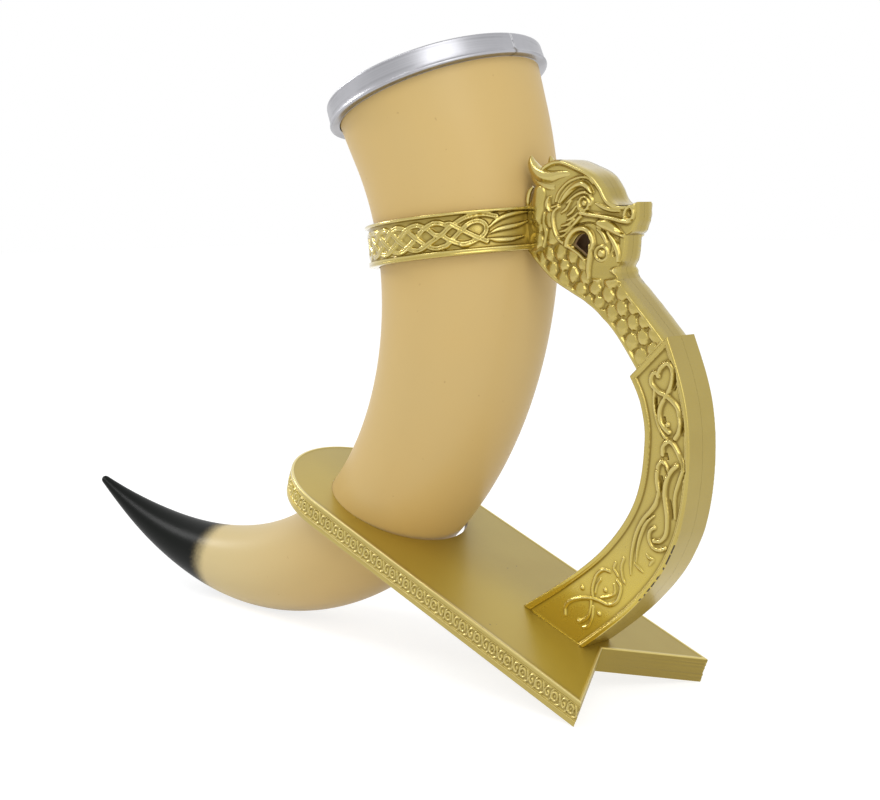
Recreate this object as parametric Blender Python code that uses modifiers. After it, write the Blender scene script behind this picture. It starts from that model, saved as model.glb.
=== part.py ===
"""Drinking horn in a dragon-handled stand.

The cup is a hollow horn that stands on its belly. A collar, a dragon's head with its neck, a carved grip and
a fishtail plate make the holder, and the tails of the plate are the other two points it stands on. All of it
is symmetric about the plane Y = 0, with the handle at +X and the horn's tip at -X.
"""
import math

import bmesh
import bpy
from mathutils import Matrix, Vector
from mathutils.geometry import interpolate_bezier

MM = 0.001

# Fits between the pieces
GAP = 0.3 * MM
COLLAR_CLEARANCE = 0.4 * MM
HOLE_CLEARANCE = 1.0 * MM

# Horn, measured along its centre line from the lip to the tip
HORN_LENGTH = 409.5 * MM
HORN_WALL = 2.2 * MM
MOUTH_TILT = math.radians(20.4)
MOUTH_STRAIGHT = 20.7 * MM
BEND_RADIUS = 137.2 * MM
EASE_START = 209.7 * MM
EASE_LENGTH = 298.5 * MM
COLLAR_AT = 62.0 * MM
PLATE_AT = 173.0 * MM
BELLY_AT = 290.0 * MM
SOLID_TIP = 62.0 * MM
MOUTH_RADIUS = 40.1 * MM
NECK_RADIUS = 34.6 * MM
WAIST_RADIUS = 26.9 * MM
BELLY_RADIUS = 17.1 * MM
TIP_RADIUS = 1.7 * MM

# Rim, a split channel over the lip
RIM_STAND = 2.5 * MM
RIM_RADIUS = MOUTH_RADIUS + RIM_STAND
RIM_FLARE = 0.2 * MM
RIM_STRIP = 5.4 * MM
RIM_TOP = 2.0 * MM
RIM_BEAD = 1.55 * MM
RIM_BEAD_STAND = 0.3 * MM
RIM_GROOVE = 0.3 * MM
RIM_COVE = 1.9 * MM
RIM_INNER_SKIRT = 8.0 * MM
RIM_INNER_WALL = 1.2 * MM
RIM_EDGE = 0.7 * MM
RIM_SEAM = 0.4 * MM

# Collar, two half bands with raised rails
COLLAR_HEIGHT = 15.2 * MM
COLLAR_WALL = 3.9 * MM
COLLAR_RADIUS = NECK_RADIUS + COLLAR_WALL
COLLAR_TAPER = 0.3 * MM
COLLAR_TILT = math.radians(6.2)
COLLAR_RAIL = 2.0 * MM
COLLAR_FIELD = 1.1 * MM
COLLAR_EDGE = 0.5 * MM
TONGUE_LENGTH = 6.5 * MM
TONGUE_WIDTH = 6.4 * MM
TONGUE_HEIGHT = 8.0 * MM

# Handle, a dragon's head and neck in a carved grip
SHELL_WALL = 1.8 * MM
EDGE_ROUND = 0.6 * MM
NECK_WIDTH = 12.8 * MM
GRIP_WIDTH = 15.6 * MM
SNOUT_WIDTH = 8.6 * MM
SNOUT_ROOT = 28.0 * MM
SNOUT_TIP = 46.0 * MM
PIN_RADIUS = 1.2 * MM
PIN_LENGTH = 2.6 * MM
BOSS_RADIUS = 2.8 * MM

# Handle points in millimetres, from the collar's back: across, up, and whether the outline has a corner there
DRAGON_OUTLINE = (
    (-2.0, -4.2, True), (5.9, -11.1), (11.2, -15.0), (28.1, -23.4), (38.5, -32.0), (48.8, -43.5),
    (53.6, -50.6, True), (62.4, -41.2, True), (59.6, -32.8), (50.9, -24.0), (39.9, -13.4, True),
    (38.5, -10.2), (40.5, -6.6), (41.3, -2.8), (41.6, 1.5, True), (44.2, 2.8), (45.2, 4.8), (46.1, 6.8),
    (46.3, 12.9, True), (42.9, 12.1), (38.3, 12.2), (35.0, 13.9), (32.4, 18.0), (28.2, 22.2), (22.2, 24.8),
    (13.2, 27.7), (6.0, 26.2), (2.6, 22.0), (1.4, 16.3), (-2.0, 11.8, True),
)
MOUTH_OUTLINE = ((18.6, -1.6, True), (20.0, 0.6), (22.6, 1.7), (25.0, 0.6), (25.9, -2.4), (24.9, -6.6, True))
HORN_CURL = ((19.0, 22.2, 2.6), (10.4, 22.8, 2.7), (2.9, 22.6, 2.5), (-2.2, 25.4, 1.7), (-3.0, 30.4, 0.4))
BROW_ARCH = ((11.8, 13.6, 0.7), (15.0, 18.0, 1.2), (20.6, 19.8, 1.4), (25.6, 18.4, 1.3), (28.8, 15.8, 0.6))
EYE_AT = (24.4, 12.9)
SCROLL_AT = (32.0, -4.4)
HEAD_PIN_AT = (10.5, 19.5)
NECK_PIN_AT = (31.0, -16.5)
GRIP_OUTLINE = (
    (46.4, -46.9, True), (50.6, -55.5), (52.4, -68.0), (48.3, -89.2), (35.1, -107.3), (14.8, -123.3),
    (-12.0, -140.0, True), (14.0, -153.0, True), (36.5, -135.7), (54.1, -117.7), (66.0, -96.5),
    (70.9, -73.0), (68.6, -52.0), (61.9, -32.8, True),
)
GRIP_PINS_AT = ((60.5, -64.0), (55.0, -97.0))
CHIN_AT = -10.5 * MM
EYE_RADIUS = 2.6 * MM
SCROLL_RADIUS = 2.9 * MM
RELIEF = 1.4 * MM
RELIEF_SINK = 0.5 * MM
CURL_SPREAD = 4.6 * MM

# Stand plate, measured up its slope from the tails, which lie behind the collar's back
PLATE_TILT = math.radians(20.7)
PLATE_BEHIND = 44.4 * MM
PLATE_SIDE = 146.8 * MM
PLATE_NOSE = 40.6 * MM
PLATE_WIDTH = 71.3 * MM
PLATE_DEPTH = 9.7 * MM
PLATE_TOP = 2.4 * MM
PLATE_SKIRT = 2.2 * MM
PLATE_EDGE = 0.7 * MM
NOTCH_DEPTH = 22.0 * MM
HOLE_WALL = 2.0 * MM
RIB_WIDTH = 1.6 * MM
RIBS_AT = (64.0 * MM, 88.0 * MM)
FRIEZE_DEPTH = 0.5 * MM
FRIEZE_LOW = 1.9 * MM
FRIEZE_HIGH = 7.8 * MM

# Screws from under the plate into the grip's foot
SCREW_RADIUS = 1.4 * MM
SCREW_GRIP = 8.0 * MM
SCREW_POINT = 1.6 * MM
SCREW_HEAD_RADIUS = 2.8 * MM
SCREW_HEAD_HEIGHT = 1.8 * MM
SCREW_SPREAD = 3.3 * MM

# Fineness of the meshes
HORN_SIDES = 36
HORN_STEP = 15.0 * MM
PATH_STEPS = 400
RING_STEPS = 56
NOSE_STEPS = 30
OUTLINE_STEPS = 3
ROUND_SIDES = 16
END_TURNS = (80, 55, 28)
BEAD_TURNS = range(20, 161, 20)
WELD = 0.01 * MM
SMOOTH_UP_TO = math.radians(35)
BEVEL_FROM = math.radians(50)
REACH = 0.3

# Finishes: colour, roughness and metallic
FINISHES = {
    "ivory": ((0.72, 0.53, 0.26), 0.35, 0.0),
    "silver": ((0.55, 0.55, 0.55), 0.3, 1.0),
    "gold": ((0.62, 0.42, 0.12), 0.35, 1.0),
    "steel": ((0.35, 0.35, 0.36), 0.4, 1.0),
}

LEFT = 1
RIGHT = -1
SIDES = {"left": LEFT, "right": RIGHT}
SCREWS_AT = {"foot_screw_front": (46.0 * MM, RIGHT), "foot_screw_rear": (33.5 * MM, LEFT)}


def clear_scene():
    """Empty the scene and make the collections for the parts and their cutters."""
    for thing in list(bpy.data.objects):
        bpy.data.objects.remove(thing, do_unlink=True)
    for name in ("drinking_horn", "cutters"):
        bpy.context.scene.collection.children.link(bpy.data.collections.new(name))
    frame = bpy.data.objects.new("frame", None)
    bpy.data.collections["drinking_horn"].objects.link(frame)


def make_material(name, colour, roughness, metallic):
    """Principled material of one finish."""
    material = bpy.data.materials.new(name)
    material.use_nodes = True
    shader = material.node_tree.nodes["Principled BSDF"]
    shader.inputs["Base Color"].default_value = (*colour, 1.0)
    shader.inputs["Roughness"].default_value = roughness
    shader.inputs["Metallic"].default_value = metallic
    return material


def place(name, mesh, matrix=Matrix.Identity(4), collection="cutters"):
    """Object of the mesh, hung on the frame; what lies in the cutters' collection only shapes the parts."""
    thing = bpy.data.objects.new(name, mesh)
    bpy.data.collections[collection].objects.link(thing)
    thing.parent = bpy.data.objects["frame"]
    thing.matrix_local = matrix
    if collection == "cutters":
        thing.hide_render = True
        thing.display_type = "WIRE"
    return thing


def part(name, mesh, material, matrix=Matrix.Identity(4)):
    """One piece of the horn, smooth where it is round."""
    mesh = mesh.copy()
    mesh.name = name
    mesh.materials.clear()
    mesh.materials.append(material)
    mesh.shade_smooth()
    mesh.set_sharp_from_angle(angle=SMOOTH_UP_TO)
    return place(name, mesh, matrix, "drinking_horn")


def shape(thing, tool, operation="DIFFERENCE"):
    """Cut the tool's shape from the thing, or join it on."""
    modifier = thing.modifiers.new(operation.lower(), "BOOLEAN")
    modifier.operation = operation
    modifier.object = tool
    modifier.solver = "EXACT"


def mesh_of(name, model):
    """Mesh from a finished bmesh, its faces turned outward."""
    bmesh.ops.recalc_face_normals(model, faces=model.faces)
    mesh = bpy.data.meshes.new(name)
    model.to_mesh(mesh)
    model.free()
    return mesh


def box(name, low, high, matrix=Matrix.Identity(4)):
    """Cutter box between two corners."""
    model = bmesh.new()
    bmesh.ops.create_cube(model, size=1.0)
    low, high = Vector(low), Vector(high)
    bmesh.ops.scale(model, vec=high - low, verts=model.verts)
    bmesh.ops.translate(model, vec=(low + high) / 2, verts=model.verts)
    return place(name, mesh_of(name, model), matrix)


def rod(name, radius, low, high, matrix, sides=ROUND_SIDES):
    """Cutter cylinder along its own Z, between two heights."""
    model = bmesh.new()
    bmesh.ops.create_cone(
        model, cap_ends=True, segments=sides, radius1=radius, radius2=radius, depth=high - low)
    bmesh.ops.translate(model, vec=(0, 0, (low + high) / 2), verts=model.verts)
    return place(name, mesh_of(name, model), matrix)


def dome(name, radius, stand, centre):
    """Cutter ball, flattened across Y to the given stand."""
    model = bmesh.new()
    bmesh.ops.create_uvsphere(model, u_segments=ROUND_SIDES, v_segments=ROUND_SIDES // 2, radius=radius)
    bmesh.ops.scale(model, vec=(1, stand / radius, 1), verts=model.verts)
    return place(name, mesh_of(name, model), Matrix.Translation(centre))


def curve_mesh(name, data):
    """Welded mesh of a curve."""
    guide = place(name + "_guide", data)
    bpy.context.view_layer.update()
    mesh = bpy.data.meshes.new_from_object(guide.evaluated_get(bpy.context.evaluated_depsgraph_get()))
    bpy.data.objects.remove(guide, do_unlink=True)
    model = bmesh.new()
    model.from_mesh(mesh)
    bmesh.ops.remove_doubles(model, verts=model.verts, dist=WELD)
    return mesh_of(name, model)


def slab(name, outline, half, round_edge=0.0):
    """Flat body of a closed outline, in its own XY plane, from -half to half."""
    data = bpy.data.curves.new(name, "CURVE")
    data.dimensions = "2D"
    data.fill_mode = "BOTH"
    data.extrude = half - round_edge
    data.bevel_depth = round_edge
    data.bevel_resolution = 1
    data.offset = -round_edge
    spline = data.splines.new("POLY")
    spline.points.add(len(outline) - 1)
    for point, place_at in zip(spline.points, outline):
        point.co = (place_at[0], place_at[1], 0.0, 1.0)
    spline.use_cyclic_u = True
    return curve_mesh(name, data)


def tube(name, path):
    """Tapering round tube along points that each carry a radius."""
    data = bpy.data.curves.new(name, "CURVE")
    data.dimensions = "3D"
    data.bevel_depth = 1.0
    data.bevel_resolution = 2
    data.resolution_u = OUTLINE_STEPS
    data.use_fill_caps = True
    spline = data.splines.new("BEZIER")
    spline.bezier_points.add(len(path) - 1)
    for knot, (at, radius) in zip(spline.bezier_points, path):
        knot.co = at
        knot.radius = radius
        knot.handle_left_type = "AUTO"
        knot.handle_right_type = "AUTO"
    return curve_mesh(name, data)


def turned(name, profile, material, matrix):
    """Piece turned about its own Z from a profile that runs down its outer side."""
    model = bmesh.new()
    knots = [model.verts.new((radius, 0, height)) for radius, height in profile]
    closed = min(radius for radius, height in profile) > 0
    for first, second in zip(knots, knots[1:] + knots[:1] if closed else knots[1:]):
        model.edges.new((first, second))
    mesh = bpy.data.meshes.new(name)
    model.to_mesh(mesh)
    model.free()
    thing = part(name, mesh, material, matrix)
    screw = thing.modifiers.new("turn", "SCREW")
    screw.steps = RING_STEPS if closed else ROUND_SIDES
    screw.render_steps = screw.steps
    screw.use_merge_vertices = True
    screw.merge_threshold = WELD
    return thing


def smooth_outline(knots):
    """Points in metres along a closed curve through knots in millimetres, turning sharply only at corners."""
    places = [Vector(knot[:2]) * MM for knot in knots]
    sharp = [len(knot) > 2 for knot in knots]
    count = len(knots)
    outline = []
    for i in range(count):
        j = (i + 1) % count
        span = (places[j] - places[i]).length
        ahead = handle(places, sharp, i, span)
        behind = handle(places, sharp, j, -span)
        steps = 2 if sharp[i] and sharp[j] else OUTLINE_STEPS + 1
        outline += interpolate_bezier(places[i], places[i] + ahead, places[j] + behind, places[j], steps)[:-1]
    return [Vector(point[:2]) for point in outline]


def handle(places, sharp, i, span):
    """Bezier handle of a knot, along the line between its neighbours."""
    before, after = places[i - 1], places[(i + 1) % len(places)]
    if sharp[i]:
        return Vector((0.0, 0.0))
    return (after - before).normalized() * span / 3


def inset(outline, distance):
    """The outline moved inward by a distance, without the stretches that no longer fit."""
    area = sum(a.cross(b) for a, b in zip(outline, outline[1:] + outline[:1]))
    turn = math.copysign(1.0, area)
    moved = []
    for before, here, after in zip(outline[-1:] + outline[:-1], outline, outline[1:] + outline[:1]):
        first = (here - before).normalized().orthogonal() * turn
        second = (after - here).normalized().orthogonal() * turn
        moved.append(here + (first + second) * distance / (1.0 + first.dot(second)))
    return [point for point in moved if distance_to(outline, point) > 0.999 * distance]


def distance_to(outline, point):
    """Shortest distance from a point to a closed outline."""
    shortest = REACH
    for first, second in zip(outline, outline[1:] + outline[:1]):
        along = second - first
        share = max(0.0, min(1.0, (point - first).dot(along) / along.length_squared))
        shortest = min(shortest, (point - first - along * share).length)
    return shortest


def horn_radius(s):
    """Radius of the horn at s, smooth through its named radii."""
    places = (0.0, COLLAR_AT, PLATE_AT, BELLY_AT, HORN_LENGTH)
    radii = (MOUTH_RADIUS, NECK_RADIUS, WAIST_RADIUS, BELLY_RADIUS, TIP_RADIUS)
    slopes = [(b - a) / (q - p) for a, b, p, q in zip(radii, radii[1:], places, places[1:])]
    tangents = [slopes[0]] + [(a + b) / 2 for a, b in zip(slopes, slopes[1:])] + [slopes[-1]]
    i = max(k for k in range(4) if k == 0 or s >= places[k])
    run = places[i + 1] - places[i]
    t = min(1.0, (s - places[i]) / run)
    start = (1 + 2 * t) * (1 - t) ** 2 * radii[i] + t * (1 - t) ** 2 * run * tangents[i]
    end = t ** 2 * (3 - 2 * t) * radii[i + 1] - t ** 2 * (1 - t) * run * tangents[i + 1]
    return start + end


def horn_heading(s):
    """Angle of the centre line at s, from +X, looking along +Y."""
    bent = max(0.0, min(s, EASE_START) - MOUTH_STRAIGHT)
    eased = max(0.0, s - EASE_START)
    turn = (bent + eased - eased ** 2 / (2 * EASE_LENGTH)) / BEND_RADIUS
    return MOUTH_TILT - math.pi / 2 - turn


def horn_path():
    """Evenly spaced points of the centre line, with the horn's belly on the ground."""
    step = HORN_LENGTH / PATH_STEPS
    points = [Vector((0.0, 0.0, 0.0))]
    for k in range(PATH_STEPS):
        angle = horn_heading((k + 0.5) * step)
        points.append(points[-1] + step * Vector((math.cos(angle), 0.0, math.sin(angle))))
    lowest = min(
        point.z - horn_radius(k * step) * abs(math.cos(horn_heading(k * step)))
        for k, point in enumerate(points))
    return [point - Vector((0.0, 0.0, lowest)) for point in points]


PATH = horn_path()


def horn_frame(s):
    """Matrix with its origin on the centre line at s and its Z toward the tip."""
    k = min(max(s, 0.0), HORN_LENGTH) / HORN_LENGTH * PATH_STEPS
    i = min(int(k), PATH_STEPS - 1)
    centre = PATH[i].lerp(PATH[i + 1], k - i)
    angle = horn_heading(min(max(s, 0.0), HORN_LENGTH))
    beyond = s - min(max(s, 0.0), HORN_LENGTH)
    turn = Matrix.Rotation(math.pi / 2 - angle, 4, "Y")
    return Matrix.Translation(centre) @ turn @ Matrix.Translation((0, 0, beyond))


def loft(name, sections):
    """Closed body through round sections of the horn, each a place along it and a radius."""
    model = bmesh.new()
    frames = [horn_frame(s) @ Matrix.Diagonal((radius, radius, 1.0, 1.0)) for s, radius in sections]
    bmesh.ops.create_circle(model, cap_ends=True, segments=HORN_SIDES, radius=1.0, matrix=frames[0])
    end = model.faces[:][0]
    for number, (before, after) in enumerate(zip(frames, frames[1:])):
        grown = bmesh.ops.extrude_face_region(model, geom=[end])["geom"]
        verts = [item for item in grown if isinstance(item, bmesh.types.BMVert)]
        bmesh.ops.transform(model, matrix=after @ before.inverted(), verts=verts)
        if number > 0:
            bmesh.ops.delete(model, geom=[end], context="FACES_ONLY")
        end = next(item for item in grown if isinstance(item, bmesh.types.BMFace))
    return mesh_of(name, model)


def spread(start, end):
    """Places from start to end, about a horn's step apart."""
    count = max(2, round(abs(end - start) / HORN_STEP))
    return [start + (end - start) * k / count for k in range(count + 1)]


def horn_solid(name, start, end, extra):
    """Cutter that follows the horn's outside between two places, larger by a clearance."""
    return place(name, loft(name, [(s, horn_radius(s) + extra) for s in spread(start, end)]))


def make_horn(material):
    """Curved cup: its inside from the round bottom up to the lip, then its outside down to the tip."""
    lip = RIM_TOP + GAP
    bottom = HORN_LENGTH - SOLID_TIP
    bore = horn_radius(bottom) - HORN_WALL
    turns = [math.radians(angle) for angle in END_TURNS]
    sections = [(bottom + bore * math.sin(turn), bore * math.cos(turn)) for turn in turns]
    sections += [(s, horn_radius(s) - HORN_WALL) for s in spread(bottom, lip)]
    sections += [(s, horn_radius(s)) for s in spread(lip, HORN_LENGTH)]
    sections += [
        (HORN_LENGTH + TIP_RADIUS * math.sin(turn), TIP_RADIUS * math.cos(turn)) for turn in reversed(turns)]
    part("horn_body", loft("horn_body", sections), material)


def make_rim(material):
    """Split ring that caps the lip: a flat strip over a rolled bead, and a skirt inside the mouth."""
    strip_foot = RIM_RADIUS + RIM_FLARE
    bead_at = strip_foot + RIM_BEAD_STAND - RIM_BEAD
    bead_down = RIM_STRIP + RIM_GROOVE + RIM_BEAD
    turns = [math.radians(angle) for angle in BEAD_TURNS]
    bead = [(bead_at + RIM_BEAD * math.sin(turn), RIM_BEAD * math.cos(turn) - bead_down) for turn in turns]
    bottom = bead_down + RIM_BEAD + RIM_COVE
    inside = MOUTH_RADIUS - HORN_WALL - GAP
    drop = horn_radius(0.0) - horn_radius(RIM_INNER_SKIRT)
    profile = [(RIM_RADIUS - RIM_EDGE, 0.0), (RIM_RADIUS, -RIM_EDGE), (strip_foot, -RIM_STRIP)]
    profile += bead
    profile += [
        (horn_radius(bottom) + GAP + RIM_GROOVE, -bottom), (horn_radius(bottom) + GAP, -bottom),
        (horn_radius(RIM_TOP) + GAP, -RIM_TOP),
        (inside, -RIM_TOP), (inside - drop, -RIM_INNER_SKIRT),
        (inside - drop - RIM_INNER_WALL, -RIM_INNER_SKIRT), (inside - RIM_INNER_WALL, -RIM_EDGE),
        (inside - RIM_INNER_WALL + RIM_EDGE, 0.0)]
    frame = horn_frame(0.0) @ Matrix.Rotation(math.pi, 4, "Y")
    rim = turned("rim_ring", profile, material, frame)
    slit = box("rim_slit", (RIM_RADIUS / 2, -RIM_SEAM / 2, -REACH), (REACH, RIM_SEAM / 2, REACH), frame)
    shape(rim, slit)


def collar_frame():
    """Matrix of the collar: its middle on the horn's centre line, its Z along its own axis."""
    return Matrix.Translation(horn_frame(COLLAR_AT).translation) @ Matrix.Rotation(-COLLAR_TILT, 4, "Y")


def handle_frame():
    """Matrix that stands the handle's flat outlines up behind the collar."""
    back = collar_frame().translation + Vector((COLLAR_RADIUS, 0.0, 0.0))
    return Matrix.Translation(back) @ Matrix.Rotation(math.pi / 2, 4, "X")


def plate_frame():
    """Matrix of the plate: its X up the slope from the tails' ground line, its Z out of the top face."""
    up = Vector((-math.cos(PLATE_TILT), 0.0, math.sin(PLATE_TILT)))
    out = Vector((math.sin(PLATE_TILT), 0.0, math.cos(PLATE_TILT)))
    turn = Matrix((up, out.cross(up), out)).transposed().to_4x4()
    return Matrix.Translation((handle_frame().translation.x + PLATE_BEHIND, 0.0, 0.0)) @ turn


def other_halves():
    """For each side, a box over the other side's half and the parting gap."""
    boxes = {}
    for name, side in SIDES.items():
        low, high = sorted((side * GAP / 2, -side * REACH))
        boxes[side] = box(f"beyond_{name}", (-REACH, low, -REACH), (REACH, high, REACH))
    return boxes


def make_collar(material, halves):
    """Two half bands bored to the horn, each with a tongue into the dragon's neck."""
    half = COLLAR_HEIGHT / 2
    top, low = COLLAR_RADIUS + COLLAR_TAPER, COLLAR_RADIUS - COLLAR_TAPER
    bore = NECK_RADIUS - COLLAR_RAIL
    slant = COLLAR_FIELD / 2
    profile = [
        (top - COLLAR_EDGE, half), (top, half - COLLAR_EDGE), (top, half - COLLAR_RAIL),
        (top - COLLAR_FIELD, half - COLLAR_RAIL - slant), (low - COLLAR_FIELD, COLLAR_RAIL + slant - half),
        (low, COLLAR_RAIL - half), (low, COLLAR_EDGE - half), (low - COLLAR_EDGE, -half),
        (bore, -half), (bore, half)]
    around = COLLAR_HEIGHT * 2
    horn = horn_solid("collar_bore", COLLAR_AT - around, COLLAR_AT + around, COLLAR_CLEARANCE)
    root = (COLLAR_RADIUS + NECK_RADIUS) / 2 + COLLAR_CLEARANCE
    tip = COLLAR_RADIUS + TONGUE_LENGTH
    size = Vector((0.0, TONGUE_WIDTH / 2, TONGUE_HEIGHT / 2))
    tongue = box("collar_tongue", Vector((root, 0, 0)) - size, Vector((tip, 0, 0)) + size, collar_frame())
    for name, side in SIDES.items():
        collar = turned(f"collar_{name}", profile, material, collar_frame())
        shape(collar, tongue, "UNION")
        shape(collar, horn)
        shape(collar, halves[side])


def add_bosses(cavity, label, places, frame):
    """Leave round bosses standing in the cavity, across the parting plane."""
    for number, (across, up) in enumerate(places):
        spot = frame @ Matrix.Translation((across * MM, up * MM, 0.0))
        shape(cavity, rod(f"{label}_boss_{number}", BOSS_RADIUS, -REACH, REACH, spot))


def add_pins(body, side, places, frame):
    """Locating pins on the right half, and sockets for them in the left half's bosses."""
    for number, (across, up) in enumerate(places):
        spot = frame @ Matrix.Translation((across * MM, up * MM, 0.0))
        label = f"{body.name}_pin_{number}"
        deep = PIN_LENGTH + GAP
        if side == RIGHT:
            shape(body, rod(label, PIN_RADIUS, -PIN_LENGTH, PIN_LENGTH, spot), "UNION")
        else:
            shape(body, rod(label, PIN_RADIUS + GAP, -deep, deep, spot))


def snout_wedge(name, face, depth):
    """Cutter that narrows one face of the snout, set inward by a depth."""
    lean = math.atan2((NECK_WIDTH - SNOUT_WIDTH) / 2, SNOUT_TIP - SNOUT_ROOT)
    root = Matrix.Translation((SNOUT_ROOT, 0.0, face * (NECK_WIDTH / 2 - depth)))
    turn = Matrix.Rotation(face * lean, 4, "Y")
    low, high = sorted((0.0, face * NECK_WIDTH))
    return box(name, (-NECK_WIDTH, CHIN_AT, low), (SNOUT_TIP, SNOUT_TIP, high), handle_frame() @ root @ turn)


def make_dragon(material, halves):
    """Head and neck: two shells with curled horns, brows, eyes and an open mouth."""
    frame = handle_frame()
    outline = smooth_outline(DRAGON_OUTLINE)
    body = slab("dragon", outline, NECK_WIDTH / 2, EDGE_ROUND)
    hollow = slab("dragon_hollow", inset(outline, SHELL_WALL), NECK_WIDTH / 2 - SHELL_WALL)
    mouth = place("dragon_mouth", slab("dragon_mouth", smooth_outline(MOUTH_OUTLINE), NECK_WIDTH), frame)
    seat = rod("dragon_seat", COLLAR_RADIUS + COLLAR_TAPER + GAP, -REACH, REACH, collar_frame(), RING_STEPS)
    slot = Vector((GAP, TONGUE_WIDTH / 2 + GAP, TONGUE_HEIGHT / 2 + GAP))
    tip = Vector((COLLAR_RADIUS + TONGUE_LENGTH, 0.0, 0.0))
    tongue = box("dragon_slot", -slot, tip + slot, collar_frame())
    pins = (HEAD_PIN_AT, NECK_PIN_AT)
    relief_at = NECK_WIDTH / 2 - RELIEF_SINK
    for name, side in SIDES.items():
        face = -side
        dragon = part(f"dragon_{name}", body, material, frame)
        cavity = place(f"dragon_cavity_{name}", hollow, frame)
        shape(dragon, snout_wedge(f"snout_{name}", face, 0.0))
        shape(cavity, snout_wedge(f"snout_inside_{name}", face, SHELL_WALL))
        add_bosses(cavity, f"dragon_{name}", pins, frame)
        for label, path, spread_by in (("curl", HORN_CURL, CURL_SPREAD), ("brow", BROW_ARCH, relief_at)):
            knots = [((across * MM, up * MM, face * spread_by), radius * MM) for across, up, radius in path]
            shape(dragon, place(f"{label}_{name}", tube(f"{label}_{name}", knots), frame), "UNION")
        domes = (("eye", EYE_AT, EYE_RADIUS), ("scroll", SCROLL_AT, SCROLL_RADIUS))
        for label, (across, up), radius in domes:
            centre = frame @ Vector((across * MM, up * MM, face * relief_at))
            shape(dragon, dome(f"{label}_{name}", radius, RELIEF, centre), "UNION")
        for tool in (cavity, mouth, seat, tongue, halves[side]):
            shape(dragon, tool)
        add_pins(dragon, side, pins, frame)


def screw_spot(name):
    """Matrix of a screw: on its own axis, where that meets the plate's top face."""
    along, side = SCREWS_AT[name]
    return plate_frame() @ Matrix.Translation((along, -side * SCREW_SPREAD, PLATE_DEPTH))


def make_grip(material, halves):
    """Grip: two shells that sleeve the dragon's neck, cut to the plate, with bosses for the screws."""
    frame = handle_frame()
    outline = smooth_outline(GRIP_OUTLINE)
    neck = inset(smooth_outline(DRAGON_OUTLINE), -GAP)
    body = slab("grip", outline, GRIP_WIDTH / 2, EDGE_ROUND)
    hollow = slab("grip_hollow", inset(outline, SHELL_WALL), GRIP_WIDTH / 2 - SHELL_WALL)
    sleeve = place("grip_sleeve", slab("grip_sleeve", neck, NECK_WIDTH / 2 + GAP), frame)
    ground = box("grip_ground", (-REACH, -REACH, -REACH), (REACH, REACH, PLATE_DEPTH + GAP), plate_frame())
    for name, side in SIDES.items():
        grip = part(f"grip_{name}", body, material, frame)
        cavity = place(f"grip_cavity_{name}", hollow, frame)
        add_bosses(cavity, f"grip_{name}", GRIP_PINS_AT, frame)
        own = [screw for screw, (along, screw_side) in SCREWS_AT.items() if screw_side == side]
        for screw in own:
            shape(cavity, rod(f"{screw}_boss", BOSS_RADIUS, -REACH, SCREW_GRIP * 2, screw_spot(screw)))
        for tool in (cavity, sleeve, ground, halves[side]):
            shape(grip, tool)
        for screw in own:
            shape(grip, rod(f"{screw}_hole", SCREW_RADIUS + GAP, -GAP, SCREW_GRIP + GAP, screw_spot(screw)))
        add_pins(grip, side, GRIP_PINS_AT, frame)


def plate_outline(notch, back):
    """Plate's outline from the tails round the nose, in metres up the slope and across."""
    half = PLATE_WIDTH / 2
    turns = [math.pi / 2 - math.pi * k / NOSE_STEPS for k in range(NOSE_STEPS + 1)]
    nose = [Vector((PLATE_SIDE + PLATE_NOSE * math.cos(turn), half * math.sin(turn))) for turn in turns]
    tails = [Vector((back, -half)), Vector((back + notch, 0.0)), Vector((back, half))]
    return nose + tails


def make_plate(material):
    """Tray with a fishtail: a top with a skirt round it, ribs under it and a walled hole for the horn."""
    frame = plate_frame()
    outline = plate_outline(NOTCH_DEPTH, 0.0)
    rise = Matrix.Translation((0.0, 0.0, PLATE_DEPTH / 2))
    under = Matrix.Translation((0.0, 0.0, -PLATE_TOP))
    plate = part("stand_plate", slab("stand_plate", outline, PLATE_DEPTH / 2), material, frame @ rise)
    edge = plate.modifiers.new("edge", "BEVEL")
    edge.width = PLATE_EDGE
    edge.segments = 1
    edge.limit_method = "ANGLE"
    edge.angle_limit = BEVEL_FROM
    for screw in SCREWS_AT:
        reach = PLATE_DEPTH * 2
        shape(plate, rod(f"{screw}_way", SCREW_RADIUS + GAP, -reach, reach, screw_spot(screw)))

    cavity = slab("plate_hollow", inset(outline, PLATE_SKIRT), PLATE_DEPTH / 2)
    cavity = place("plate_cavity", cavity, frame @ rise @ under)
    for number, along in enumerate(RIBS_AT):
        low, high = along - RIB_WIDTH / 2, along + RIB_WIDTH / 2
        shape(cavity, box(f"plate_rib_{number}", (low, -REACH, 0.0), (high, REACH, REACH), frame))
    around = PLATE_DEPTH * 6
    start, end = PLATE_AT - around, PLATE_AT + around
    shape(cavity, horn_solid("plate_hole_wall", start, end, HOLE_CLEARANCE + HOLE_WALL))
    shape(plate, cavity)
    shape(plate, horn_solid("plate_hole", start, end, HOLE_CLEARANCE))

    core = slab("plate_core", inset(plate_outline(0.0, -PLATE_SIDE), FRIEZE_DEPTH), PLATE_DEPTH)
    recess = box("plate_frieze", (-REACH, -REACH, FRIEZE_LOW), (REACH, REACH, FRIEZE_HIGH), frame)
    shape(recess, place("plate_core", core, frame))
    shape(plate, recess)


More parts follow.
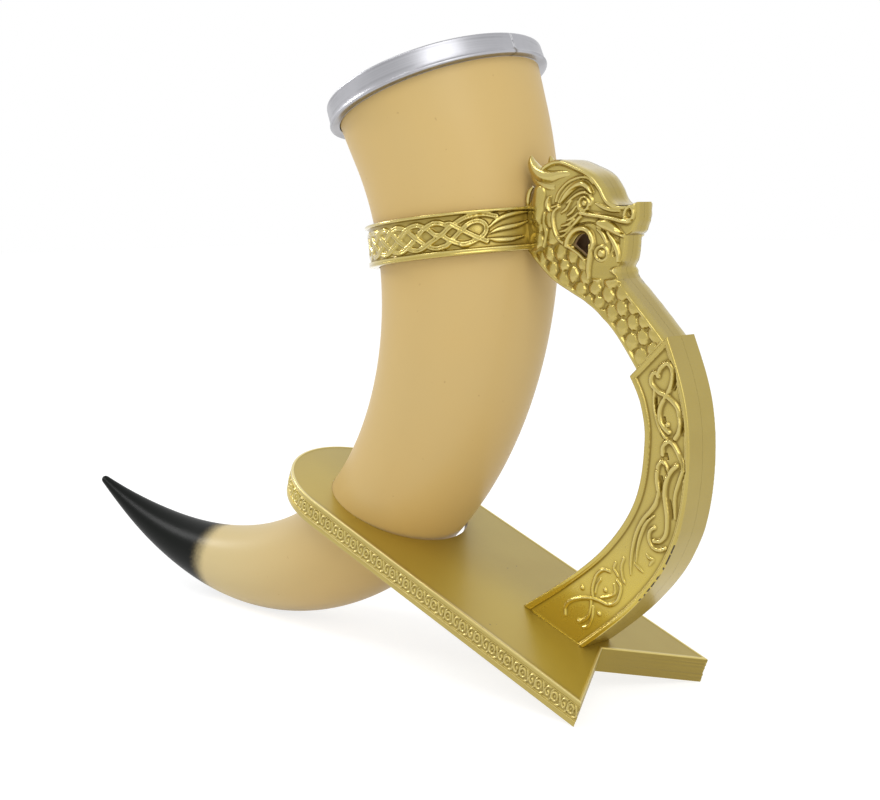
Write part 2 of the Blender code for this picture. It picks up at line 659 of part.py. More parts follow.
def make_screws(material):
    """Screws that hold the grip's two halves down on the plate."""
    seat = -PLATE_TOP - GAP
    low = seat - SCREW_HEAD_HEIGHT
    profile = [
        (0.0, SCREW_GRIP), (SCREW_RADIUS, SCREW_GRIP - SCREW_POINT), (SCREW_RADIUS, seat),
        (SCREW_HEAD_RADIUS, seat), (SCREW_HEAD_RADIUS, (seat + low) / 2), (SCREW_RADIUS, low), (0.0, low)]
    for name in SCREWS_AT:
        turned(name, profile, material, screw_spot(name))


def centre_frame():
    """Slide the frame so that the origin lies under the middle of the whole."""
    bpy.context.view_layer.update()
    graph = bpy.context.evaluated_depsgraph_get()
    frame = bpy.data.objects["frame"]
    ends = []
    for name in ("horn_body", "grip_left"):
        thing = bpy.data.objects[name].evaluated_get(graph)
        ends += [(thing.matrix_world @ Vector(corner)).x for corner in thing.bound_box]
    frame.location.x = -(min(ends) + max(ends)) / 2


def main():
    """Build every piece and set the whole on its frame."""
    clear_scene()
    ivory, silver, gold, steel = [make_material(name, *finish) for name, finish in FINISHES.items()]
    halves = other_halves()
    make_horn(ivory)
    make_rim(silver)
    make_collar(gold, halves)
    make_dragon(gold, halves)
    make_grip(gold, halves)
    make_plate(gold)
    make_screws(steel)
    centre_frame()


main()
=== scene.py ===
"""Looks of the drinking horn: an ivory cup with a silver rim in a gilt, dragon-handled stand."""

import math

import bmesh
import bpy
import numpy as np
from mathutils import Matrix, Vector


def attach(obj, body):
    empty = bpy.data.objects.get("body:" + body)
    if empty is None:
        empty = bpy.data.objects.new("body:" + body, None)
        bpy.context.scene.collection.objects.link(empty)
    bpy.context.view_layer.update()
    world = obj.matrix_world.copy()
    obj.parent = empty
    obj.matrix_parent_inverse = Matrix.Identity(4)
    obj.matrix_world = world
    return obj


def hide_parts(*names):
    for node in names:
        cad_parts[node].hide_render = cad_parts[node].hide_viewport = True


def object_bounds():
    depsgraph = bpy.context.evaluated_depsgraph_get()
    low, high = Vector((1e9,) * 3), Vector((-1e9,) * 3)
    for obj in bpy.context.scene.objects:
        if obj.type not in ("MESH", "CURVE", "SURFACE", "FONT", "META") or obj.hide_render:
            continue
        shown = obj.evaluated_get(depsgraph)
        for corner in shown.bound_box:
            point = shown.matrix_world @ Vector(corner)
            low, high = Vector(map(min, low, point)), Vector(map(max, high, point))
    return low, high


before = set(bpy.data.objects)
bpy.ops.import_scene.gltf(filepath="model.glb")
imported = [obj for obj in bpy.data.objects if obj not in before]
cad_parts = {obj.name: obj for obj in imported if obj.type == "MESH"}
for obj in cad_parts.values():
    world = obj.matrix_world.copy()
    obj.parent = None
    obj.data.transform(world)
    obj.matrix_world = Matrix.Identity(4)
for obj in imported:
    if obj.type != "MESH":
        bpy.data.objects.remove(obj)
CAD_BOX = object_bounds()

bl_info = {
    "name": "Drinking Horn",
    "version": (1, 0, 0),
    "blender": (4, 5, 0),
    "location": "3D View > Sidebar > Drinking Horn",
    "description": "Builds the horn cup, its rim and its carved dragon stand",
    "category": "Object",
}

MM = 0.001

# Horn, in millimetres along its centre line from the lip
HORN_LENGTH = 409.5
MOUTH_TILT = math.radians(20.4)
MOUTH_STRAIGHT = 20.7
BEND_RADIUS = 137.2
EASE_START = 209.7
EASE_LENGTH = 298.5
STATIONS = (0.0, 62.0, 173.0, 290.0, 409.5)
RADII = (40.15, 34.7, 27.05, 17.25, 1.9)
TIP_SWELL = 0.3
TIP_SWELL_AT = 368.0
TIP_SWELL_SPAN = 32.0
HORN_WALL = 2.2
BORE_END = 347.5
LIP_DOWN = 3.3
LIP_EDGE = 0.4
END_TURNS = [math.radians(angle) for angle in (90, 78, 66, 54, 42, 30, 15)]
HORN_SIDES = 128
BORE_RINGS = 90
SKIN_RINGS = 170
LIP_AT = (59.4, 0.0, 223.77)
LIP_DRIFT = (-1.1, -0.79, 0.52)
COLLAR_AT = 62.0

# Rim, in millimetres outward and down from the middle of its top
RIM_AXIS = (-0.3483, -0.0228, 0.9371)
RIM_TOP = 42.55
RIM_FOOT = 42.75
RIM_INSIDE = RADII[0] - 2.5
RIM_STRIP = 6.15
RIM_EDGE = 0.6
RIM_BEAD = 0.6
RIM_BEAD_STAND = 0.4
RIM_GAP = 0.1
RIM_SKIRT = 8.0
RIM_SEAT = 2.0
RIM_STEPS = 180
RIM_WEDGE = (0.0018, -0.0042)
SEAM_HALF = 0.0018
SEAM_MARK = 0.01
COVE_PAINTED_SHADE = 0.4

# Handle, in millimetres from the collar's back: across, up, and a mark where the outline turns sharply
HANDLE_AT = (113.277, 0.0, 164.086)
DRAGON_OUTLINE = (
    (-2.0, -4.2, 1), (5.9, -11.1), (11.2, -15.0), (18.5, -18.6), (28.1, -23.4), (38.5, -32.0),
    (48.9, -45.3, 1), (60.7, -34.0, 1), (50.9, -24.0), (39.9, -13.4, 1), (38.5, -10.2), (40.5, -6.6),
    (41.3, -2.8), (41.6, 1.5, 1), (44.2, 2.8), (45.2, 4.8), (46.1, 6.8), (46.3, 12.9, 1), (42.9, 12.1),
    (38.3, 12.2), (35.0, 14.2), (32.4, 18.4), (28.2, 22.8), (22.2, 25.6), (13.2, 28.2), (6.0, 26.4),
    (2.6, 22.0), (1.4, 16.3), (-2.0, 11.8, 1),
)
MOUTH_HOLE = (
    (19.0, -1.6, 1), (19.8, -0.1), (21.5, 1.5), (23.5, 2.2), (25.5, 1.6), (26.5, 0.0), (26.6, -2.5),
    (26.2, -4.9), (25.4, -6.1, 1), (23.0, -4.3), (20.4, -2.7),
)
HEAD_HOLLOW = (
    (2.0, -4.0), (8.0, -9.5), (14.0, -14.0), (24.0, -19.0), (34.0, -26.0), (44.0, -36.5), (54.0, -31.5),
    (46.0, -22.5), (36.5, -12.0), (36.5, -6.0), (38.5, -2.0), (39.0, 3.0), (43.0, 5.5), (43.5, 9.5),
    (37.0, 9.5), (32.0, 13.0), (28.0, 19.0), (20.0, 23.0), (12.0, 25.0), (7.0, 23.0), (4.0, 17.0),
    (2.0, 10.0),
)
GRIP_OUTLINE = (
    (45.8, -46.5, 1), (50.4, -55.5), (52.3, -68.0), (48.2, -89.2), (35.1, -107.3), (14.8, -123.3),
    (-12.0, -140.0, 1), (14.0, -153.0, 1), (26.5, -144.6), (42.3, -132.2), (51.8, -123.0), (58.4, -115.2),
    (63.0, -107.8), (67.2, -98.5), (70.2, -85.0), (71.2, -70.0), (70.1, -56.6), (67.2, -45.5),
    (61.9, -32.2, 1),
)

# Stand plate, in millimetres up its slope from the tails
PLATE_AT = (157.677, 0.0, 0.0)
PLATE_TILT = math.radians(20.7)
PLATE_SIDE = 146.8
PLATE_NOSE = 41.0
PLATE_HALF = 35.95
PLATE_DEPTH = 9.7
NOTCH_DEPTH = 22.0


def colour_setting(name, description, colour):
    """Setting that holds a colour."""
    return bpy.props.FloatVectorProperty(
        name=name, description=description, subtype="COLOR", size=3, min=0, max=1, default=colour)


def length_setting(name, description, length):
    """Setting that holds a length in metres."""
    return bpy.props.FloatProperty(
        name=name, description=description, subtype="DISTANCE", unit="LENGTH", default=length)


class Looks(bpy.types.PropertyGroup):
    """Colours and sizes of the horn's finish"""
    ivory: colour_setting("Ivory", "Colour of the cup", (0.60, 0.432, 0.178))
    tip_paint: colour_setting("Tip paint", "Colour sprayed on the tip", (0.006, 0.007, 0.006))
    tip_length: length_setting("Painted tip", "How far the solid tip paint reaches along X", 0.0815)
    gilt: colour_setting("Gilt", "Colour of the gold paint", (0.46, 0.358, 0.080))
    # Deep gilt is the colour of a painted warm reflection of the neighbouring gold and ivory; gilt shade is
    # the colour of painted shade
    reflected_gilt: colour_setting("Deep gilt", "Gold where the paint is sheltered and thick", (0.58, 0.44, 0.06))
    gilt_shade: colour_setting("Gilt shade", "Gold in the carving's hollows", (0.165, 0.100, 0.010))
    silver: colour_setting("Silver", "Colour of the rim", (0.45, 0.45, 0.475))
    steel: colour_setting("Steel", "Colour of the screws", (0.34, 0.34, 0.35))
    carving_cell: length_setting("Carving cell", "Size of the faces that hold the carving", 0.00021)


# Shader sockets

class Wire:
    """A shader value: arithmetic on it adds Math nodes."""

    def __init__(self, paint, socket):
        self.paint = paint
        self.socket = socket

    def math(self, operation, *values):
        """Result of a Math node on these values."""
        return self.paint.node("ShaderNodeMath", {"operation": operation}, dict(enumerate(values)))

    def __add__(self, other):
        return self.math("ADD", self, other)

    def __radd__(self, other):
        return self.math("ADD", other, self)

    def __sub__(self, other):
        return self.math("SUBTRACT", self, other)

    def __rsub__(self, other):
        return self.math("SUBTRACT", other, self)

    def __mul__(self, other):
        return self.math("MULTIPLY", self, other)

    def __pow__(self, other):
        return self.math("POWER", self, other)

    def step(self, low, high):
        """Soft step from 0 at low to 1 at high."""
        return self.paint.node(
            "ShaderNodeMapRange", {"interpolation_type": "SMOOTHSTEP", "clamp": True},
            {"Value": self, "From Min": low, "From Max": high})


class Paint:
    """A procedural finish under construction."""

    def __init__(self, name):
        self.material = bpy.data.materials.new(name)
        self.material.use_nodes = True
        self.tree = self.material.node_tree
        self.shader = self.tree.nodes["Principled BSDF"]

    def node(self, kind, settings=None, inputs=None, out=0):
        """Output of a new node, its settings made first and its sockets filled with values or wires."""
        made = self.tree.nodes.new(kind)
        for key, value in (settings or {}).items():
            setattr(made, key, value)
        for key, value in (inputs or {}).items():
            if isinstance(value, Wire):
                self.tree.links.new(value.socket, made.inputs[key])
            else:
                made.inputs[key].default_value = value
        return Wire(self, made.outputs[out])

    def places(self):
        """Object coordinates."""
        return self.node("ShaderNodeTexCoord", out="Object")

    def axis(self, name):
        """One object coordinate."""
        return self.node("ShaderNodeSeparateXYZ", None, {0: self.places()}, out=name)

    def noise(self, scale, detail=3.0, roughness=0.55):
        """Noise over the object, with this many cells to the metre."""
        return self.node(
            "ShaderNodeTexNoise", None,
            {"Vector": self.places(), "Scale": scale, "Detail": detail, "Roughness": roughness})

    def value(self, name):
        """A number stored on the mesh."""
        return self.node("ShaderNodeAttribute", {"attribute_name": name}, out="Fac")

    def mix(self, share, first, second):
        """Colour between two colours."""
        ends = [(*c, 1.0) if isinstance(c, tuple) else c for c in (first, second)]
        return self.node(
            "ShaderNodeMix", {"data_type": "RGBA"}, {0: share, 6: ends[0], 7: ends[1]}, out=2)

    def layered(self, colour, *layers):
        """A colour with further colours laid over it, each by its share."""
        for share, over in layers:
            colour = self.mix(share, colour, over)
        return colour

    def bump(self, height, distance, strength=1.0):
        """Normal that follows a height given in shares of a distance."""
        return self.node(
            "ShaderNodeBump", None, {"Height": height, "Distance": distance, "Strength": strength})

    def finish(self, **inputs):
        """Fill the shader's sockets and give the material."""
        for key, value in inputs.items():
            socket = self.shader.inputs[key.replace("_", " ")]
            if isinstance(value, Wire):
                self.tree.links.new(value.socket, socket)
            else:
                socket.default_value = value
        return self.material


# Colours of specks, wear, dirt, raw plastic and tarnish, and of painted highlights, a painted glint and
# painted shade
SPECK = (0.42, 0.25, 0.09)
EDGE_PAINTED_HIGHLIGHT = (0.78, 0.66, 0.28)
CHIP = (0.06, 0.042, 0.02)
DIRT = (0.05, 0.035, 0.015)
RAW_PLASTIC = (0.58, 0.40, 0.23)
RIM_PAINTED_SHADE = (0.20, 0.17, 0.12)
SEAM_PAINTED_GLINT = (0.8, 0.8, 0.82)
TARNISH = (0.16, 0.13, 0.10)

# Where the finishes change, in metres, among them the painted light on the cup and the painted warm
# reflection on the grip's foot and the plate
TIP_FADE = (0.009, 0.0235)
TAIL_PAINTED_LIGHT = (-0.09, 0.03)
FOOT_REFLECTION_SPAN = (0.03, 0.07)
PLATE_NEAR_EDGE = (-0.035, -0.0325)
PLATE_NEAR_FADE = (-0.02, 0.012)
PLATE_BACK_FADE = (-0.05, 0.03)
RUB_AXIS = (-0.348, 0.937)


def looks():
    """The user's settings."""
    return bpy.context.scene.drinking_horn


def tinted(colour, red, green, blue):
    """A colour with its channels scaled."""
    return tuple(min(1.0, channel * share) for channel, share in zip(colour, (red, green, blue)))


def ivory_finish():
    """Satin moulded ivory with fine specks, painted paler towards its tail as painted light, and black
    sprayed over the tip with a soft edge.
    """
    paint = Paint("ivory_plastic")
    cloud = paint.noise(14.0)
    fine = paint.noise(900.0, 2.0)
    specks = paint.noise(420.0, 1.0).step(0.74, 0.80) * paint.noise(60.0, 1.0).step(0.48, 0.62)
    spray = paint.noise(2600.0, 2.0)
    ivory = tuple(looks().ivory)
    body = paint.mix(cloud.step(0.3, 0.7), ivory, tinted(ivory, 1.03, 1.0, 0.93))
    # painted light: the tail end of the cup is painted paler and less warm than the part beside the gilt
    # stand
    body = paint.mix(paint.axis("X").step(*TAIL_PAINTED_LIGHT), tinted(ivory, 1.02, 1.13, 1.36), body)
    along = paint.axis("X") + (spray - 0.5) * 0.012 + (paint.noise(45.0) - 0.5) * 0.012
    start = -(CAD_BOX[1][0] - CAD_BOX[0][0]) / 2 + looks().tip_length
    solid = 1.0 - along.step(start + TIP_FADE[0], start + TIP_FADE[1])
    colour = paint.layered(body, (specks * 0.45, SPECK), (solid ** 0.8, tuple(looks().tip_paint)))
    rough = 0.36 + fine * 0.10 + specks * 0.15 - solid * 0.08
    height = fine * 0.5 + paint.noise(120.0) * 0.5
    return paint.finish(
        Base_Color=colour, Roughness=rough, Normal=paint.bump(height, 0.00006, 0.6),
        Specular_IOR_Level=0.03, Coat_Weight=(1.0 - solid) * 0.3, Coat_Roughness=0.3)


def gilt_finish(name, shine, wear, reflection_share=None):
    """Satin gold paint: painted shade in the carving's hollows and on its walls, painted highlight on its
    ridges and along the edges of unworn paint, a painted warm reflection where one is given, and chipped dark
    on sharp edges.
    """
    paint = Paint(name)
    hollow, ridge, edge, inside = (paint.value(layer) for layer in ("hollow", "ridge", "edge", "inside"))
    grain = paint.noise(2400.0, 2.0)
    cloud = paint.noise(38.0)
    chips = paint.noise(560.0, 1.0).step(0.53, 0.57) * edge.step(0.6, 0.75) * wear
    dots = paint.noise(800.0, 0.0).step(0.87, 0.89) * paint.noise(28.0, 1.0).step(0.5, 0.6)
    gold = tuple(looks().gilt)
    colour = paint.mix(cloud.step(0.3, 0.7), gold, tinted(gold, 0.94, 0.92, 0.86))
    # a painted warm reflection of the neighbouring gold and ivory
    if reflection_share:
        colour = paint.mix(reflection_share(paint), colour, tuple(looks().reflected_gilt))
    # painted highlight on ridges and unworn edges, painted shade in hollows; the chips, dirt dots and raw
    # plastic inside are the paint's own colours
    colour = paint.layered(
        colour, (ridge.step(0.1, 0.9) * 0.75, tinted(gold, 1.22, 1.28, 1.9)),
        (hollow.step(0.05, 1.0) * 0.74, tuple(looks().gilt_shade)),
        (edge.step(0.4, 0.9) * (0.6 - 0.6 * wear), EDGE_PAINTED_HIGHLIGHT),
        (chips, CHIP), (dots * 0.7, DIRT), (inside, RAW_PLASTIC))
    rough = shine - ridge * (0.35 * shine) + grain * 0.06 + hollow * 0.2 + chips * 0.3 + inside * 0.4
    height = grain * 0.6 + paint.noise(500.0) * 0.4
    return paint.finish(
        Base_Color=colour, Roughness=rough, Metallic=0.95 - chips * 0.8 - dots * 0.5 - inside * 0.95,
        Normal=paint.bump(height, 0.00005, 0.7), Coat_Roughness=0.6 * shine,
        Coat_Weight=(0.8 - hollow * 0.6) * (1.0 - chips) * (1.0 - inside))


def foot_reflection_share(paint):
    """Share of the painted warm reflection of the plate on the grip's paint, fullest at its foot."""
    return 1.0 - paint.axis("Z").step(*FOOT_REFLECTION_SPAN)


def near_reflection_share(paint):
    """Share of the painted warm reflection of the horn and grip on the plate's paint, fullest along the near
    side of its top.
    """
    across, along = paint.axis("Y"), paint.axis("X")
    near = across.step(*PLATE_NEAR_EDGE) * (1.0 - across.step(*PLATE_NEAR_FADE))
    return near * along.step(*PLATE_BACK_FADE) * 0.8


def silver_finish():
    """Bright silver foil finish, faintly rubbed round the ring, with darker streaks painted as reflections
    along it, painted shade in the cove and the seam's notch, and a painted glint on the seam.
    """
    paint = Paint("silver_plate")
    cloud = paint.noise(55.0)
    grain = paint.noise(1800.0, 2.0)
    along = paint.axis("Z") * RUB_AXIS[1] + paint.axis("X") * RUB_AXIS[0]
    rubbing_and_reflection_streaks = paint.node(
        "ShaderNodeTexNoise", {"noise_dimensions": "1D"}, {"W": along, "Scale": 1100.0, "Detail": 3.0})
    silver = tuple(looks().silver)
    # painted shade in the cove and the seam's notch, a painted glint on the seam, and darker streaks painted
    # as reflections where the ring is rubbed
    colour = paint.layered(
        silver, (cloud.step(0.3, 0.7), tinted(silver, 0.9, 0.9, 0.9)),
        (paint.value("hollow").step(0.1, 1.0) * 0.6, RIM_PAINTED_SHADE),
        (paint.value("ridge").step(0.6, 1.0) * paint.noise(900.0, 1.0).step(0.3, 0.5), SEAM_PAINTED_GLINT),
        (rubbing_and_reflection_streaks.step(0.4, 0.7) * cloud.step(0.4, 0.6) * 0.5, tinted(silver, 0.6, 0.6, 0.6)))
    return paint.finish(
        Base_Color=colour, Roughness=0.3 + cloud * 0.06 + rubbing_and_reflection_streaks * 0.06, Metallic=1.0,
        Normal=paint.bump(grain + rubbing_and_reflection_streaks * 2.0, 0.00002, 0.2))


def steel_finish():
    """Plated screw steel with a little tarnish."""
    paint = Paint("plated_steel")
    cloud = paint.noise(600.0)
    return paint.finish(
        Base_Color=paint.mix(cloud.step(0.35, 0.75), tuple(looks().steel), TARNISH),
        Roughness=0.3 + cloud * 0.25, Metallic=1.0, Normal=paint.bump(paint.noise(3000.0), 0.00003, 0.5))


# Gold paints: how rough they are, how far their edges are chipped, and where a painted warm reflection lies
# on them
GILT_FINISHES = {
    "gold_paint": (0.19, 0.0), "worn_gold_paint": (0.23, 1.0, foot_reflection_share),
    "satin_gold_paint": (0.46, 0.0, near_reflection_share)}
OTHER_FINISHES = {
    "ivory_plastic": ivory_finish, "silver_plate": silver_finish, "plated_steel": steel_finish}


def material(name):
    """A finish by its name, made at its first use."""
    if name in bpy.data.materials:
        return bpy.data.materials[name]
    if name in GILT_FINISHES:
        return gilt_finish(name, *GILT_FINISHES[name])
    return OTHER_FINISHES[name]()


# Lines and heights
TINY = 1e-12
LINE_STEP = 0.4

# Sections of strands and bosses: powers of their round backs, then a strand's crease and moat in half widths
STRAND_BACK = (2.4, 0.62)
BOSS_BACK = 0.6
CREASE_HALF = 0.22
MOAT_AT = 1.12
MOAT_HALF = 0.26

# Blurs in millimetres for slopes, small hollows and wide hollows, and the steepest slope that counts, for the
# relief's painted shade and painted highlight
RELIEF_LIGHT_BLURS = (0.2, 0.55, 1.3)
STEEPEST = 1.2


def through(points, step=0.5):
    """Points about a step apart on the smooth curve through the given ones; further columns ride along."""
    knots = np.asarray(points, float)
    padded = np.vstack([2 * knots[0] - knots[1], knots, 2 * knots[-1] - knots[-2]])
    run = []
    for a, b, c, d in zip(padded, padded[1:], padded[2:], padded[3:]):
        count = max(1, math.ceil(np.hypot(*(c - b)[:2]) / step))
        t = (np.arange(count) / count)[:, None]
        run.append(0.5 * (2 * b + (c - a) * t + (2 * a - 5 * b + 4 * c - d) * t ** 2
                          + (3 * b - a - 3 * c + d) * t ** 3))
    return np.vstack(run + [knots[-1:]])


def outline_of(knots, step=0.4):
    """Closed outline through knots, turning sharply only at those with a mark."""
    places = np.array([knot[:2] for knot in knots], float)
    sharp = [len(knot) > 2 for knot in knots]
    count = len(knots)

    def pull(i, span):
        if sharp[i]:
            return np.zeros(2)
        way = places[(i + 1) % count] - places[i - 1]
        return way / np.hypot(*way) * span / 3

    run = []
    for i in range(count):
        j = (i + 1) % count
        span = np.hypot(*(places[j] - places[i]))
        a, d = places[i], places[j]
        b, c = a + pull(i, span), d + pull(j, -span)
        steps = max(2, round(span / step))
        t = (np.arange(steps) / steps)[:, None]
        run.append(a * (1 - t) ** 3 + 3 * b * t * (1 - t) ** 2 + 3 * c * t ** 2 * (1 - t) + d * t ** 3)
    return np.vstack(run)


def nearest(x, y, path, closed=False):
    """For each point its distance from the path, and the nearest place along it."""
    best = np.full(x.shape, np.inf)
    place = np.zeros(x.shape)
    ends = np.vstack([path[1:], path[:1]]) if closed else path[1:]
    for k, (a, b) in enumerate(zip(path, ends)):
        way_x, way_y = b[0] - a[0], b[1] - a[1]
        length = way_x ** 2 + way_y ** 2
        if length < TINY:
            continue
        share = np.clip(((x - a[0]) * way_x + (y - a[1]) * way_y) / length, 0, 1)
        far = (x - (a[0] + share * way_x)) ** 2 + (y - (a[1] + share * way_y)) ** 2
        closer = far < best
        best = np.where(closer, far, best)
        place = np.where(closer, k + share, place)
    return np.sqrt(best), place


def within(x, y, outline):
    """Which points lie inside a closed outline."""
    inside = np.zeros(x.shape, bool)
    for a, b in zip(outline, np.roll(outline, -1, axis=0)):
        if a[1] != b[1]:
            cross = a[0] + (y - a[1]) / (b[1] - a[1]) * (b[0] - a[0])
            inside ^= ((a[1] > y) != (b[1] > y)) & (x < cross)
    return inside


def depth_in(x, y, outline):
    """Distance inside a closed outline, below zero outside it."""
    return nearest(x, y, outline, True)[0] * np.where(within(x, y, outline), 1, -1)


def soften(field, cells):
    """The field blurred over this many cells."""
    reach = max(1, int(3 * cells))
    kernel = np.exp(-0.5 * (np.arange(-reach, reach + 1) / cells) ** 2)
    kernel /= kernel.sum()
    for axis in (0, 1):
        pad = [(reach, reach) if k == axis else (0, 0) for k in (0, 1)]
        padded = np.pad(field, pad, mode="edge")
        field = np.apply_along_axis(lambda line: np.convolve(line, kernel, "valid"), axis, padded)
    return field


def ease(value, low, high):
    """Smooth step from 0 at low to 1 at high."""
    t = np.clip((value - low) / (high - low), 0, 1)
    return t * t * (3 - 2 * t)


def bell(value, middle, half):
    """Bell curve, 1 at the middle and falling off over the half width."""
    return np.exp(-((value - middle) / half) ** 2)


class Carving:
    """Relief over a face, in millimetres: what each stroke of the carver leaves standing or takes away."""

    def __init__(self, x, y):
        self.x, self.y = x, y
        self.rise = np.zeros(x.shape)

    def _near(self, path, reach):
        low, high = path[:, :2].min(0) - reach, path[:, :2].max(0) + reach
        spot = (self.x > low[0]) & (self.x < high[0]) & (self.y > low[1]) & (self.y < high[1])
        return (spot, *nearest(self.x[spot], self.y[spot], path[:, :2]))

    def strand(self, points, half, height, lift=0.0, crease=0.0, moat=0.0):
        """A raised strand: its half width, height and lift are given once or for each point."""
        knots = np.asarray(points, float)[:, :2]
        columns = [np.broadcast_to(np.asarray(value, float), len(knots)) for value in (half, height, lift)]
        path = through(np.column_stack([knots] + columns), LINE_STEP)
        spot, far, place = self._near(path, 1.7 * np.max(half))
        index = np.arange(len(path))
        wide, high, up = (np.interp(place, index, path[:, k]) for k in (2, 3, 4))
        q = far / np.maximum(wide, 0.05)
        form = np.maximum(1 - q ** STRAND_BACK[0], 0) ** STRAND_BACK[1]
        form = up + high * (form - crease * bell(q, 0.0, CREASE_HALF))
        now = self.rise[spot]
        if moat:
            now = now - moat * bell(q, MOAT_AT, MOAT_HALF) * (now < form.max())
        self.rise[spot] = np.where(q < 1, np.maximum(now, form), now)

    def groove(self, points, half, depth):
        """A cut along the points."""
        path = through(points, LINE_STEP) if len(points) > 2 else np.asarray(points, float)
        spot, far, place = self._near(path, 1.5 * half)
        ends = 1 - np.abs(2 * place / (len(path) - 1) - 1) ** 3
        self.rise[spot] -= depth * ends * np.maximum(1 - (far / half) ** 2, 0)

    def boss(self, centre, radius, height):
        """A round bump, or a pit where the height is negative."""
        q = np.hypot(self.x - centre[0], self.y - centre[1]) / radius
        form = height * np.maximum(1 - q ** 2, 0) ** BOSS_BACK
        self.rise = np.maximum(self.rise, form) if height > 0 else self.rise + form

    def ring(self, centre, radius, half, height):
        """A raised ring."""
        q = np.abs(np.hypot(self.x - centre[0], self.y - centre[1]) - radius) / half
        form = height * np.maximum(1 - q ** 2, 0) ** STRAND_BACK[1]
        self.rise = np.where(q < 1, np.maximum(self.rise, form), self.rise)


def painted_relief_light(rise, cell, lean=0.0):
    """Painted shade in the relief's hollows and painted highlight on its ridges, each from 0 to 1; lean adds
    painted shade on slopes falling along X and painted highlight on slopes rising along it.
    """
    fine, near, wide = (soften(rise, blur / cell) for blur in RELIEF_LIGHT_BLURS)
    slope = np.clip(np.gradient(fine, cell, axis=1), -STEEPEST, STEEPEST)
    near, wide = (rise - near) * 1.6, rise - wide
    hollow = np.clip(-(near + wide) / 0.75 - lean * slope, 0, 1)
    ridge = np.clip((near + wide * 0.6) / 0.7 + lean * slope, 0, 1)
    return hollow, ridge


# Meshes: the distance within which vertices are welded, the angle from which edges are sharp, and the painted
# shade on a drawn-out wall
WELD = 0.002
SHARP_FROM = math.radians(50)
WALL_PAINTED_SHADE = 0.42


def sheet(places, **numbers):
    """Grid of faces with its corners at the places, in rows and columns; numbers ride on it."""
    rows, columns = places.shape[:2]
    model = bmesh.new()
    bmesh.ops.create_grid(model, x_segments=columns - 1, y_segments=rows - 1, size=0.5)
    layers = [(model.verts.layers.float.new(name), field) for name, field in numbers.items()]
    for vert in model.verts:
        column = round((vert.co.x + 0.5) * (columns - 1))
        row = round((vert.co.y + 0.5) * (rows - 1))
        vert.co = places[row, column]
        for layer, field in layers:
            vert[layer] = field[row, column]
    return model


def closed_loops(model):
    """Boundary edges of the model, sorted into loops."""
    left = {edge for edge in model.edges if edge.is_boundary}
    loops = []
    while left:
        loop = [left.pop()]
        ends = list(loop[0].verts)
        while ends:
            vert = ends.pop()
            for edge in vert.link_edges:
                if edge in left:
                    left.discard(edge)
                    loop.append(edge)
                    ends.append(edge.other_vert(vert))
        loops.append(loop)
    return loops


def drawn_loop(model, points):
    """Closed loop of edges through new points."""
    verts = [model.verts.new(point) for point in points]
    return [model.edges.new(pair) for pair in zip(verts, verts[1:] + verts[:1])]


def pulled(model, edges, move):
    """The edges drawn out into a wall, its new vertices moved by the function and given the wall's painted
    shade; gives the new edges.
    """
    made = bmesh.ops.extrude_edge_only(model, edges=edges)["geom"]
    for vert in made:
        if isinstance(vert, bmesh.types.BMVert):
            vert.co = move(vert.co)
            for name, layer in model.verts.layers.float.items():
                vert[layer] = WALL_PAINTED_SHADE if name == "hollow" else 0.0
    return [edge for edge in made if isinstance(edge, bmesh.types.BMEdge)]


def flat_at(level):
    """Move for a wall's new vertices that sets them all at one level."""
    return lambda co: Vector((co.x, co.y, level))


def fill(model, edges, normal=(0.0, 0.0, 0.0)):
    """Faces between closed loops."""
    made = bmesh.ops.triangle_fill(model, edges=edges, use_beauty=True, use_dissolve=False, normal=normal)
    if not any(isinstance(item, bmesh.types.BMFace) for item in made["geom"]):
        raise RuntimeError("a face could not be filled")


def placed(name, mesh, finish, nodes):
    """Object for a finished mesh in metres, standing for its CAD nodes."""
    mesh.materials.clear()
    mesh.materials.append(material(finish))
    made = bpy.data.objects.new(name, mesh)
    bpy.context.scene.collection.objects.link(made)
    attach(made, "root")
    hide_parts(*nodes)
    return made


def piece(name, model, finish, nodes, place=Matrix.Identity(4)):
    """Finished object from a model in millimetres, moved to its place."""
    bmesh.ops.remove_doubles(model, verts=model.verts, dist=WELD)
    bmesh.ops.recalc_face_normals(model, faces=model.faces)
    mesh = bpy.data.meshes.new(name)
    model.to_mesh(mesh)
    model.free()
    mesh.transform(Matrix.Scale(MM, 4) @ place)
    mesh.shade_smooth()
    mesh.set_sharp_from_angle(angle=SHARP_FROM)
    return placed(name, mesh, finish, nodes)


def halves(name, model, finish, place):
    """A gilt piece's near half, and the far half as its mirror image."""
    near = piece(f"{name}_near", model, finish, [f"{name}_right"], place)
    far = f"{name}_far"
    mesh = near.data.copy()
    mesh.name = far
    mesh.transform(Matrix.Diagonal((1, -1, 1, 1)))
    mesh.flip_normals()
    placed(far, mesh, finish, [f"{name}_left"])


def tube(path, sides=20):
    """Rings of a round tube along points that each carry a radius, closed to a point at both ends."""
    run = through(path, 0.5)
    centres, radii = run[:, :3], np.maximum(run[:, 3], 0.02)
    ways = np.gradient(centres, axis=0)
    ways /= np.linalg.norm(ways, axis=1)[:, None]
    side = np.cross(ways, (0.0, 0.0, 1.0))
    side /= np.linalg.norm(side, axis=1)[:, None]
    over = np.cross(side, ways)
    turns = np.linspace(0, 2 * math.pi, sides + 1)
    rings = [centres[:1].repeat(sides + 1, 0)]
    for centre, radius, a, b in zip(centres, radii, side, over):
        rings.append(centre + radius * (np.cos(turns)[:, None] * a + np.sin(turns)[:, None] * b))
    rings.append(centres[-1:].repeat(sides + 1, 0))
    return np.array(rings)


